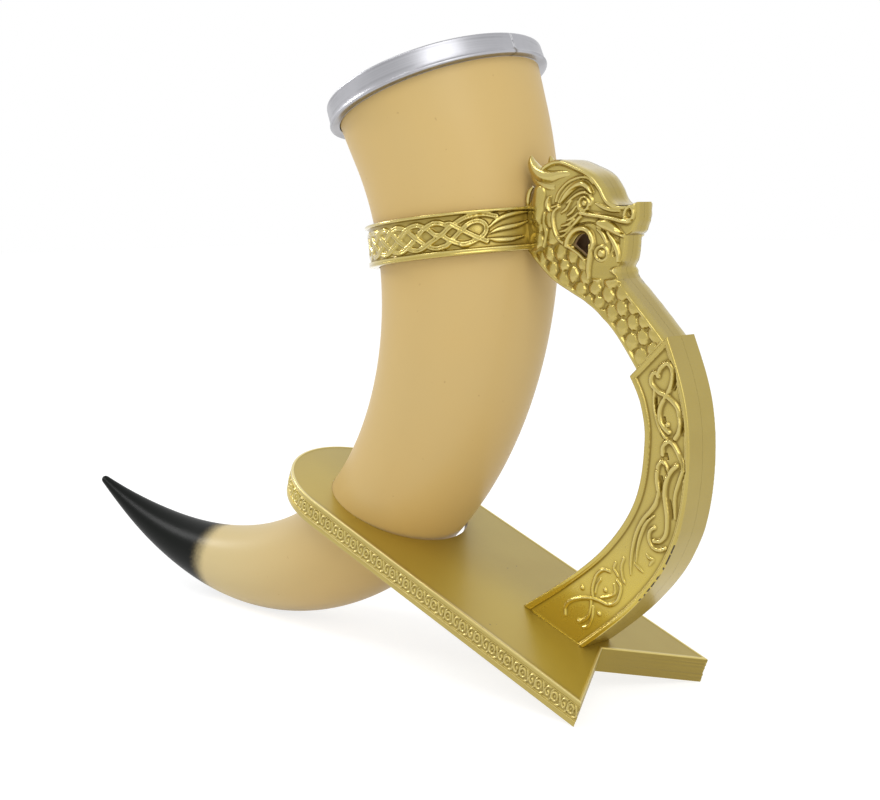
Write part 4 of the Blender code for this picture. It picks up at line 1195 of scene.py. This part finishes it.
# Grip: millimetres on the handle's plane; a slot is its points, half width and depth
GRIP_FACE = 7.0
GRIP_WALL = 7.2
GRIP_EDGE = 0.55
FOOT_OUT = (0.3535, 0.9354)
FOOT_RISE = -128.3
FRAME_RISE = 0.85
FRAME_SPAN = (-2.3, -2.0)
FRAME_LINE = (1.75, 0.22)
BOLD_FROM = (-118.0, -84.0)
CHIPPED_SPANS = ((92.0, 104.0), (-128.0, -124.0))
CHIPPED_FROM = ((-135.0, -112.0, -90.0), (26.0, 50.0, 60.0))
GRIP_STRANDS = (
    (((58.0, -45.8), (58.4, -43.8), (60.0, -42.1), (61.9, -41.3), (63.5, -42.5), (64.1, -44.8),
      (63.7, -47.4), (62.5, -50.4), (60.5, -53.4), (59.1, -55.8), (58.5, -58.5), (58.9, -61.0),
      (60.5, -63.2), (62.5, -64.6)), 0.75, 1.0),
    (((58.0, -45.8), (57.4, -44.9), (56.0, -44.9), (55.0, -46.3), (55.0, -48.3), (56.2, -49.8),
      (58.4, -51.3), (61.1, -52.1), (63.3, -53.5), (65.1, -54.9), (66.3, -56.5), (67.0, -59.1),
      (67.2, -61.6), (66.5, -64.3), (65.1, -66.4)), 0.75, 0.9),
    (((56.4, -50.8), (56.2, -54.4), (56.6, -58.0), (57.9, -62.1), (59.9, -65.5), (62.5, -67.6)), 0.5, 0.8),
    (((59.9, -72.4), (60.2, -69.5), (62.5, -67.8), (64.4, -68.6), (66.3, -71.2), (68.1, -74.4),
      (68.4, -77.2)), 0.7, 1.0),
    (((57.6, -78.9), (58.0, -76.3), (59.7, -74.8), (61.1, -76.0), (62.2, -78.1)), 0.65, 0.9),
    (((57.4, -78.9), (57.4, -81.8), (58.1, -85.2), (57.6, -87.8), (55.8, -90.9), (52.6, -95.0),
      (50.5, -97.9)), 0.7, 0.9),
    (((65.7, -75.8), (63.9, -77.4), (62.2, -79.8), (61.1, -83.1), (60.8, -86.0), (61.2, -89.4),
      (61.8, -93.6), (61.7, -97.9), (60.8, -100.6), (58.7, -102.5), (56.4, -102.9)), 0.8, 1.1),
    (((68.4, -77.2), (66.8, -81.0), (65.2, -85.6), (65.0, -90.0), (65.2, -94.0)), (0.7, 0.7, 0.6, 0.5, 0.3),
      0.8),
    (((56.3, -98.1), (54.4, -99.6), (54.0, -102.4), (55.5, -105.0), (58.3, -105.8), (61.0, -104.7)),
      0.7, 1.0),
    (((58.0, -85.9), (57.1, -89.5), (54.7, -92.5), (51.4, -96.0), (48.6, -100.9), (46.9, -106.0),
      (46.0, -111.6), (46.0, -116.1)), (0.4, 0.7, 0.8, 0.8, 0.8, 0.7, 0.6, 0.3), 0.9),
    (((56.3, -94.0), (53.0, -96.7), (50.8, -100.6), (49.1, -105.7), (48.3, -111.3)),
      (0.3, 0.6, 0.7, 0.6, 0.3), 0.8),
    (((53.0, -107.9), (54.1, -109.0), (56.1, -109.2)), (0.3, 0.7, 0.3), 0.8),
    (((54.1, -111.7), (55.0, -110.4), (56.1, -109.7)), (0.3, 0.6, 0.3), 0.8),
    (((47.9, -112.0), (49.7, -113.3), (51.4, -114.4)), (0.3, 0.7, 0.3), 0.8),
    (((42.9, -110.7), (41.8, -114.0), (42.3, -117.6), (43.2, -119.3)), 0.6, 0.9),
    (((39.2, -112.8), (38.4, -115.0), (39.5, -116.4), (40.3, -117.5)), 0.6, 0.9),
    (((28.9, -127.4), (28.5, -124.4), (29.1, -121.5), (30.7, -118.3), (33.7, -116.2), (36.6, -116.4)),
      0.7, 0.9),
    (((15.6, -135.5), (15.8, -132.6), (18.1, -130.1), (22.3, -128.4), (27.7, -127.5), (31.3, -127.7),
      (36.0, -128.5), (39.4, -126.8), (41.1, -123.7), (41.5, -120.9), (40.0, -119.3)), 0.75, 1.0),
    (((29.8, -125.1), (30.7, -122.2), (32.5, -119.8)), 0.5, 0.8),
    (((32.5, -126.5), (36.5, -125.4), (38.9, -123.6), (38.6, -120.9)), 0.55, 0.8),
    (((28.0, -127.5), (27.6, -131.1), (26.2, -134.6), (22.9, -136.8)), 0.7, 0.9),
    (((28.9, -130.4), (28.3, -134.2), (26.5, -137.8), (24.1, -138.9)), 0.6, 0.8),
)
GRIP_BOSSES = (
    (61.9, -62.1, 1.0), (56.1, -102.7, 0.9), (56.3, -98.1, 0.9), (34.5, -123.4, 0.9), (23.9, -124.2, 0.9),
    (31.6, -132.5, 0.9), (22.3, -136.7, 0.9),
)
GRIP_SLOTS = (
    (((62.7, -87.2), (63.8, -94.7)), 0.6, 0.5),
    (((64.7, -42.7), (65.0, -45.4), (64.8, -48.3), (64.1, -50.5)), 0.85, 0.9),
    (((56.8, -52.5), (57.0, -55.7), (57.6, -59.0)), 0.55, 0.8),
    (((66.8, -57.3), (67.7, -59.7), (68.1, -62.5), (68.2, -65.6)), 0.85, 0.9),
    (((58.7, -64.8), (59.9, -67.1)), 0.5, 0.7),
    (((60.2, -59.3), (60.7, -61.7)), 0.6, 0.8),
    (((66.9, -71.3), (67.9, -74.1), (68.6, -77.5)), 0.75, 0.9),
    (((61.0, -71.7), (61.9, -74.3)), 0.7, 0.8),
    (((60.7, -75.6), (61.3, -78.2), (62.4, -79.6)), 0.75, 0.8),
    (((58.9, -79.5), (59.4, -82.4), (59.7, -85.6)), 0.75, 0.9),
)


def cut_off(outline):
    """The part of a closed outline above the foot's slanted line."""
    rise = outline @ FOOT_OUT - FOOT_RISE
    run = []
    for a, b, p, q in zip(outline, np.roll(outline, -1, 0), rise, np.roll(rise, -1)):
        if p >= 0:
            run.append(a)
        if p * q < 0:
            run.append(a + (b - a) * p / (p - q))
    return np.array(run)


class HORN_OT_grip(bpy.types.Operator):
    """Make the two carved halves of the grip, cut off flat on the plate"""
    bl_idname = "drinking_horn.grip"
    bl_label = "Grip"

    def execute(self, context):
        cell = looks().carving_cell / MM
        outline = outline_of(GRIP_OUTLINE, 0.3)
        x, y = grid_over(outline, cell)
        depth = depth_in(x, y, outline)
        field = Carving(x, y)
        field.rise += FRAME_RISE * ease(-depth, *FRAME_SPAN) - 0.36 * bell(depth, *FRAME_LINE)
        for points, half, height in GRIP_STRANDS:
            bold = ease(np.array(points)[:, 1], *BOLD_FROM)
            field.strand(
                points, np.asarray(half) * (0.95 + 0.4 * bold), np.asarray(height) * (0.6 + 0.4 * bold),
                moat=0.05 + 0.4 * bold.mean())
        for across, up, radius in GRIP_BOSSES:
            field.boss((across, up), radius, 0.8)
        for points, half, cut in GRIP_SLOTS:
            field.groove(points, half, cut)
        rise = soften(field.rise, 0.55)
        # painted shade in the relief's hollows and on slopes falling along X, painted highlight on its ridges
        # and rising slopes
        hollow, ridge = painted_relief_light(rise, cell, 0.42)
        high = GRIP_FACE + rise - rounded(np.maximum(depth, 0), GRIP_EDGE)
        edge = np.exp(-np.maximum(depth, 0) / 0.9) * ease(-y, *CHIPPED_SPANS[0])
        edge *= (x > np.interp(y, *CHIPPED_FROM)) * ease(y, *CHIPPED_SPANS[1])
        sole = cut_off(outline)
        above = FOOT_OUT[0] * x + FOOT_OUT[1] * y - FOOT_RISE
        model, (skin,) = cut_sheet(
            x, y, high, np.minimum(depth, above), (sole,), hollow=hollow, ridge=ridge, edge=edge)
        worn = model.verts.layers.float["edge"]
        skin = pulled(model, skin, lambda co: co - Vector((0.0, 0.0, 0.3)))
        for side, value in zip(skin, at(edge, x, y, sole)):
            side.verts[0][worn] = value
        for level in (GRIP_WALL * 0.66, GRIP_WALL * 0.33, PARTING_HALF):
            skin = pulled(model, skin, flat_at(level))
        fill(model, skin)
        halves("grip", model, "worn_gold_paint", HANDLE_PLACE)
        return {"FINISHED"}


# Plate: the frieze's curls in one pitch, the rows of the wall's section, and the painted shade and painted
# highlight on those rows
FRIEZE_PITCH = 9.6
FRIEZE_PACE = 1.22
FRIEZE_CURLS = (
    ((4.4, 2.6), (5.4, 3.0), (6.0, 4.2), (5.4, 5.6), (4.6, 6.9)),
    ((9.4, 7.1), (8.2, 7.0), (6.9, 6.2), (6.6, 4.9), (7.2, 3.7), (8.3, 3.5), (8.7, 4.5), (8.0, 5.2)),
    ((0.0, 2.6), (0.7, 3.4), (0.5, 4.6), (0.4, 6.0), (1.2, 7.1)),
)
FRIEZE_EYE = (2.4, 4.85)
FRIEZE_HALF = 0.42
FRIEZE_HEIGHT = 0.55
FRIEZE_LINES = (2.15, 7.55)
FRIEZE_BAND = ((1.7, 1.95), (7.75, 8.0))
FRIEZE_FIELD = ((2.2, 2.6), (7.1, 7.5))
FOOT_LINE = (1.2, 0.2)
WALL_CELL = 0.30
FACE_POINTS = 34
FACE_ROWS = slice(4, 4 + FACE_POINTS)
BEVEL_ROWS = slice(38, 41)
PAINTED_HIGHLIGHT_ROWS = slice(37, 42)
TOP_ROWS = slice(41, None)
INNER_ROWS = slice(42, None)
TOP_PAINTED_SHADE = 0.36
NOTCH_PAINTED_SHADE = 0.6
NOTCH_STEPS = 60
TOP_LEVEL = PLATE_DEPTH - 0.22
UNDER_LEVEL = PLATE_DEPTH - 2.4
RIBS_AT = (64.0, 88.0)
RIB_SIZE = (1.6, 2 * PLATE_HALF - 4.6, 6.6)
RIB_DROP = 3.2
HOLE_ROOM = 0.12
HOLE_SLACK = 1.05
HOLE_SIDES = 96
HOLE_REACH = (110, 240, 261)


def plate_place():
    """Matrix of the plate: its X up the slope, its Z out of the top face."""
    up = Vector((-math.cos(PLATE_TILT), 0.0, math.sin(PLATE_TILT)))
    out = Vector((math.sin(PLATE_TILT), 0.0, math.cos(PLATE_TILT)))
    return Matrix.Translation(PLATE_AT) @ Matrix((up, out.cross(up), out)).transposed().to_4x4()


def plate_wall(cell):
    """Points and outward ways along the plate's side from the near tail round the nose to the far tail."""
    turns = np.linspace(-math.pi / 2, math.pi / 2, 2000)[::4]
    nose = np.column_stack([PLATE_SIDE + PLATE_NOSE * np.cos(turns), PLATE_HALF * np.sin(turns)])
    sides = round(PLATE_SIDE / cell)
    near = np.column_stack([np.linspace(0, PLATE_SIDE, sides, endpoint=False), np.full(sides, -PLATE_HALF)])
    far = near[::-1] * (1, -1)
    path = np.vstack([near, nose, far])
    way = np.gradient(path, axis=0)
    out = np.column_stack([way[:, 1], -way[:, 0]])
    out /= np.hypot(*out.T)[:, None]
    out[:sides - 1], out[-sides + 1:] = (0, -1), (0, 1)
    run = np.concatenate([[0], np.cumsum(np.hypot(*np.diff(path, axis=0).T))])
    return path, out, run, sides


def frieze(run, up):
    """Row of paired curls round the plate's side."""
    field = Carving(np.mod(run * FRIEZE_PACE, FRIEZE_PITCH), up)
    for shift in (-FRIEZE_PITCH, 0.0, FRIEZE_PITCH):
        move = (shift, 0.0)
        eye = np.add(FRIEZE_EYE, move)
        field.ring(eye, 1.55, FRIEZE_HALF, FRIEZE_HEIGHT)
        field.boss(eye, 0.55, 0.5)
        for points in FRIEZE_CURLS:
            field.strand(np.array(points) + move, FRIEZE_HALF, FRIEZE_HEIGHT)
    return field.rise


def plate_section():
    """Section of the plate's wall, outward and up: from the skirt's foot up the face and over to the top."""
    run = [(-2.2, -0.4), (-1.2, -0.4), (-0.3, -0.4), (-0.08, -0.34)]
    run += [(0.0, up) for up in np.linspace(-0.1, PLATE_DEPTH - 0.5, FACE_POINTS)]
    run += [(-0.06, PLATE_DEPTH - 0.28), (-0.22, PLATE_DEPTH - 0.1), (-0.5, PLATE_DEPTH), (-0.9, PLATE_DEPTH)]
    return run + [(-1.15, PLATE_DEPTH - 0.12), (-1.4, TOP_LEVEL), (-1.7, TOP_LEVEL), (-2.4, TOP_LEVEL)]


class HORN_OT_plate(bpy.types.Operator):
    """Make the fishtail stand plate with its frieze and the horn's hole"""
    bl_idname = "drinking_horn.plate"
    bl_label = "Stand Plate"

    def execute(self, context):
        path, out, run, sides = plate_wall(WALL_CELL)
        profile = plate_section()
        up = np.array([point[1] for point in profile])[:, None] + np.zeros(len(path))
        carved = frieze(np.zeros((len(profile), 1)) + run, up)
        face = np.zeros((len(profile), 1))
        face[FACE_ROWS] = 1.0
        band, field = (ease(up, *low) * (1 - ease(up, *high)) for low, high in (FRIEZE_BAND, FRIEZE_FIELD))
        thin = sum(0.35 * bell(up, line, 0.16) for line in FRIEZE_LINES)
        rise = face * (-0.45 * band + 1.1 * np.maximum(carved * field, thin * band))
        rise -= face * 0.2 * bell(up, *FOOT_LINE)
        # painted shade in the frieze's hollows, on the top and on the notch's faces, and a painted highlight
        # along the near top edge
        hollow, ridge = painted_relief_light(rise, 0.28)
        hollow *= 0.55
        hollow[BEVEL_ROWS] = 0.0
        hollow[TOP_ROWS] = TOP_PAINTED_SHADE
        ridge[PAINTED_HIGHLIGHT_ROWS] = 1.0
        edge = np.exp(-np.abs(up - PLATE_DEPTH) / 0.5)
        edge[INNER_ROWS] = 0.0
        slant = math.atan2(PLATE_HALF, NOTCH_DEPTH)
        steps = np.linspace(0, 1, NOTCH_STEPS)[1:, None]
        rows = []
        for (inset, level), bulge in zip(profile, rise):
            shift = -inset * (1 + math.cos(slant)) / math.sin(slant)
            ends = path.copy()
            for tail in (slice(sides), slice(-sides, None)):
                ends[tail, 0] = shift + path[tail, 0] * (PLATE_SIDE - shift) / PLATE_SIDE
            flat = ends + out * (inset + bulge)[:, None]
            notch = np.array([NOTCH_DEPTH - inset / math.sin(slant), 0.0])
            flat = np.vstack([flat, flat[-1] + (notch - flat[-1]) * steps, notch + (flat[0] - notch) * steps])
            rows.append(np.column_stack([flat, np.full(len(flat), level)]))
        places = np.array(rows)
        bare = np.zeros((len(profile), places.shape[1] - len(path)))
        notch_shade = bare.copy()
        notch_shade[FACE_ROWS] = NOTCH_PAINTED_SHADE
        notch_shade[TOP_ROWS] = TOP_PAINTED_SHADE
        numbers = {
            "hollow": np.column_stack([hollow, notch_shade]), "ridge": np.column_stack([ridge, bare]),
            "edge": np.column_stack([edge, edge[:, :1] + bare])}
        model = sheet(places, **numbers)
        bmesh.ops.remove_doubles(model, verts=model.verts, dist=WELD)
        loops = sorted(closed_loops(model), key=lambda loop: loop[0].verts[0].co.z)
        under, top = loops[0], loops[-1]
        roof = pulled(model, under, flat_at(UNDER_LEVEL))
        hole = drawn_loop(model, self.hole(TOP_LEVEL))
        fill(model, top + hole)
        deep = drawn_loop(model, self.hole(UNDER_LEVEL))
        # the hole's sides take the top's painted shade
        shade_layer = model.verts.layers.float["hollow"]
        for side in hole + deep:
            side.verts[0][shade_layer] = TOP_PAINTED_SHADE
        bmesh.ops.bridge_loops(model, edges=hole + deep)
        fill(model, roof + deep)
        for along in RIBS_AT:
            rib = bmesh.ops.create_cube(model, size=1.0)["verts"]
            bmesh.ops.scale(model, vec=RIB_SIZE, verts=rib)
            bmesh.ops.translate(model, vec=(along, 0.0, UNDER_LEVEL - RIB_DROP), verts=rib)
        piece("plate", model, "satin_gold_paint", ["stand_plate"], plate_place())
        return {"FINISHED"}

    def hole(self, level):
        """Where the horn, with a little room round it, passes through a level of the plate."""
        back = plate_place().inverted()
        turns = np.linspace(0, 2 * math.pi, HOLE_SIDES, endpoint=False)
        room = HOLE_ROOM + HOLE_SLACK * ease(np.cos(turns)[:, None], 0.0, 0.95)
        rings = np.array([horn_ring(s, horn_radius(s) + room, turns) for s in np.linspace(*HOLE_REACH)])
        local = rings @ np.array(back.to_3x3()).T + np.array(back.translation)
        run = []
        for line in local.swapaxes(0, 1):
            over = line[:, 2] - level
            k = next(k for k in range(len(line) - 1) if over[k] * over[k + 1] <= 0)
            share = -over[k] / (over[k + 1] - over[k])
            run.append(tuple(line[k] + share * (line[k + 1] - line[k])))
        return run


class HORN_OT_screws(bpy.types.Operator):
    """Give the two foot screws their plated finish"""
    bl_idname = "drinking_horn.screws"
    bl_label = "Foot Screws"

    def execute(self, context):
        for name in ("foot_screw_front", "foot_screw_rear"):
            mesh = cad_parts[name].data
            mesh.materials.clear()
            mesh.materials.append(material("plated_steel"))
        return {"FINISHED"}


# Stage: lamps by name, with their spot, target, size and power, and the camera's place and axes
LAMPS = {
    "key": ((-1.6, -0.5, 0.95), (0.05, 0.0, 0.12), 0.45, 9.0),
    "edge": ((-0.55, -0.66, 1.6), (0.05, 0.0, 0.1), 0.35, 2.2),
    "front": ((1.2, -1.05, 1.5), (0.05, 0.0, 0.12), 1.4, 11.5),
    "eye": ((1.7, -0.65, 0.6), (0.05, 0.0, 0.12), 1.1, 4.0),
    "side": ((1.5, 1.3, 0.45), (0.1, 0.0, 0.12), 1.4, 0.8),
    "top": ((-0.6, 1.1, 1.5), (0.0, 0.0, 0.1), 1.6, 1.2),
}
CAMERA_AT = (0.506435, -0.439407, 0.175825)
CAMERA_RIGHT = (0.70128, 0.71274, -0.01437)
CAMERA_UP = (-0.07428, 0.09309, 0.99288)
CAMERA_BACK = (0.70901, -0.69522, 0.11822)
CAMERA_LENS = 65.93
CAMERA_SENSOR = 36.0
FLOOR_HALF = 6.0
FLOOR_DROP = 0.0004
FLOOR_GLOW = 1.27
FLOOR_GLOW_SHARE = 0.62
SKY_LIGHT = 0.66
WHITE = (1.0, 1.0, 1.0, 1.0)
PALE_GREY = (0.93, 0.93, 0.93, 1.0)


def split_rays(tree, lit, seen, share, output):
    """Let the eye, direct or mirrored, see one shader by a share, and the light meet the other."""
    path = tree.nodes.new("ShaderNodeLightPath")
    either = path.outputs["Is Camera Ray"]
    for operation, other in (
        ("MAXIMUM", path.outputs["Is Glossy Ray"]), ("MAXIMUM", path.outputs["Is Transmission Ray"]),
        ("MULTIPLY", None),
    ):
        step = tree.nodes.new("ShaderNodeMath")
        step.operation = operation
        tree.links.new(either, step.inputs[0])
        if other:
            tree.links.new(other, step.inputs[1])
        else:
            step.inputs[1].default_value = share
        either = step.outputs[0]
    blend = tree.nodes.new("ShaderNodeMixShader")
    for source, socket in zip((either, lit.outputs[0], seen.outputs[0]), blend.inputs):
        tree.links.new(source, socket)
    tree.links.new(blend.outputs[0], tree.nodes[output].inputs["Surface"])


class HORN_OT_stage(bpy.types.Operator):
    """Set the pale floor, the soft light and the camera"""
    bl_idname = "drinking_horn.stage"
    bl_label = "Stage"

    def execute(self, context):
        scene = context.scene
        scene.view_settings.view_transform = "Standard"
        model = bmesh.new()
        bmesh.ops.create_grid(model, x_segments=1, y_segments=1, size=FLOOR_HALF)
        mesh = bpy.data.meshes.new("floor")
        model.to_mesh(mesh)
        model.free()
        floor = bpy.data.objects.new("floor", mesh)
        scene.collection.objects.link(floor)
        mesh.materials.append(self.floor_finish())
        mesh.transform(Matrix.Translation((0.0, 0.0, -FLOOR_DROP)))
        self.sky(scene)
        for name, (spot, target, size, power) in LAMPS.items():
            light = bpy.data.lights.new(name, "AREA")
            light.shape = "DISK"
            light.size = size
            light.energy = power
            lamp = bpy.data.objects.new(name, light)
            way = Vector(target) - Vector(spot)
            lamp.matrix_world = Matrix.Translation(spot) @ way.to_track_quat("-Z", "Y").to_matrix().to_4x4()
            scene.collection.objects.link(lamp)
        lens = bpy.data.cameras.new("camera")
        lens.lens = CAMERA_LENS
        lens.sensor_width = CAMERA_SENSOR
        camera = bpy.data.objects.new("camera", lens)
        turn = Matrix((CAMERA_RIGHT, CAMERA_UP, CAMERA_BACK)).transposed().to_4x4()
        camera.matrix_world = Matrix.Translation(CAMERA_AT) @ turn
        scene.collection.objects.link(camera)
        scene.camera = camera
        return {"FINISHED"}

    def floor_finish(self):
        """Pale matt floor that keeps the shadow and runs out to white."""
        paint = Paint("floor")
        paint.finish(Base_Color=PALE_GREY, Roughness=0.9, Specular_IOR_Level=0.1)
        glow = paint.tree.nodes.new("ShaderNodeEmission")
        glow.inputs["Strength"].default_value = FLOOR_GLOW
        split_rays(paint.tree, paint.shader, glow, FLOOR_GLOW_SHARE, "Material Output")
        return paint.material

    def sky(self, scene):
        """White surround for what is seen directly or mirrored, and a softer one for the light it gives."""
        world = bpy.data.worlds.new("studio")
        world.use_nodes = True
        tree = world.node_tree
        soft, white = tree.nodes["Background"], tree.nodes.new("ShaderNodeBackground")
        soft.inputs["Strength"].default_value = SKY_LIGHT
        for surround in (soft, white):
            surround.inputs["Color"].default_value = WHITE
        split_rays(tree, soft, white, 1.0, "World Output")
        scene.world = world


class HORN_PT_panel(bpy.types.Panel):
    """Lists the pieces and the settings"""
    bl_idname = "HORN_PT_panel"
    bl_label = "Drinking Horn"
    bl_space_type = "VIEW_3D"
    bl_region_type = "UI"
    bl_category = "Drinking Horn"

    def draw(self, context):
        for name in Looks.__annotations__:
            self.layout.prop(context.scene.drinking_horn, name)
        for operator in OPERATORS:
            self.layout.operator(operator.bl_idname)


OPERATORS = (
    HORN_OT_stage, HORN_OT_cup, HORN_OT_rim, HORN_OT_collar, HORN_OT_dragon, HORN_OT_grip, HORN_OT_plate,
    HORN_OT_screws,
)
CLASSES = (Looks, *OPERATORS, HORN_PT_panel)


def register():
    """Add the classes and the scene's settings."""
    for item in CLASSES:
        bpy.utils.register_class(item)
    bpy.types.Scene.drinking_horn = bpy.props.PointerProperty(type=Looks)


def unregister():
    """Take the settings and the classes away again."""
    del bpy.types.Scene.drinking_horn
    for item in reversed(CLASSES):
        bpy.utils.unregister_class(item)


def main():
    """Build every piece."""
    register()
    bpy.ops.drinking_horn.stage()
    bpy.ops.drinking_horn.cup()
    bpy.ops.drinking_horn.rim()
    bpy.ops.drinking_horn.collar()
    bpy.ops.drinking_horn.dragon()
    bpy.ops.drinking_horn.grip()
    bpy.ops.drinking_horn.plate()
    bpy.ops.drinking_horn.screws()


if __name__ == "__main__":
    main()
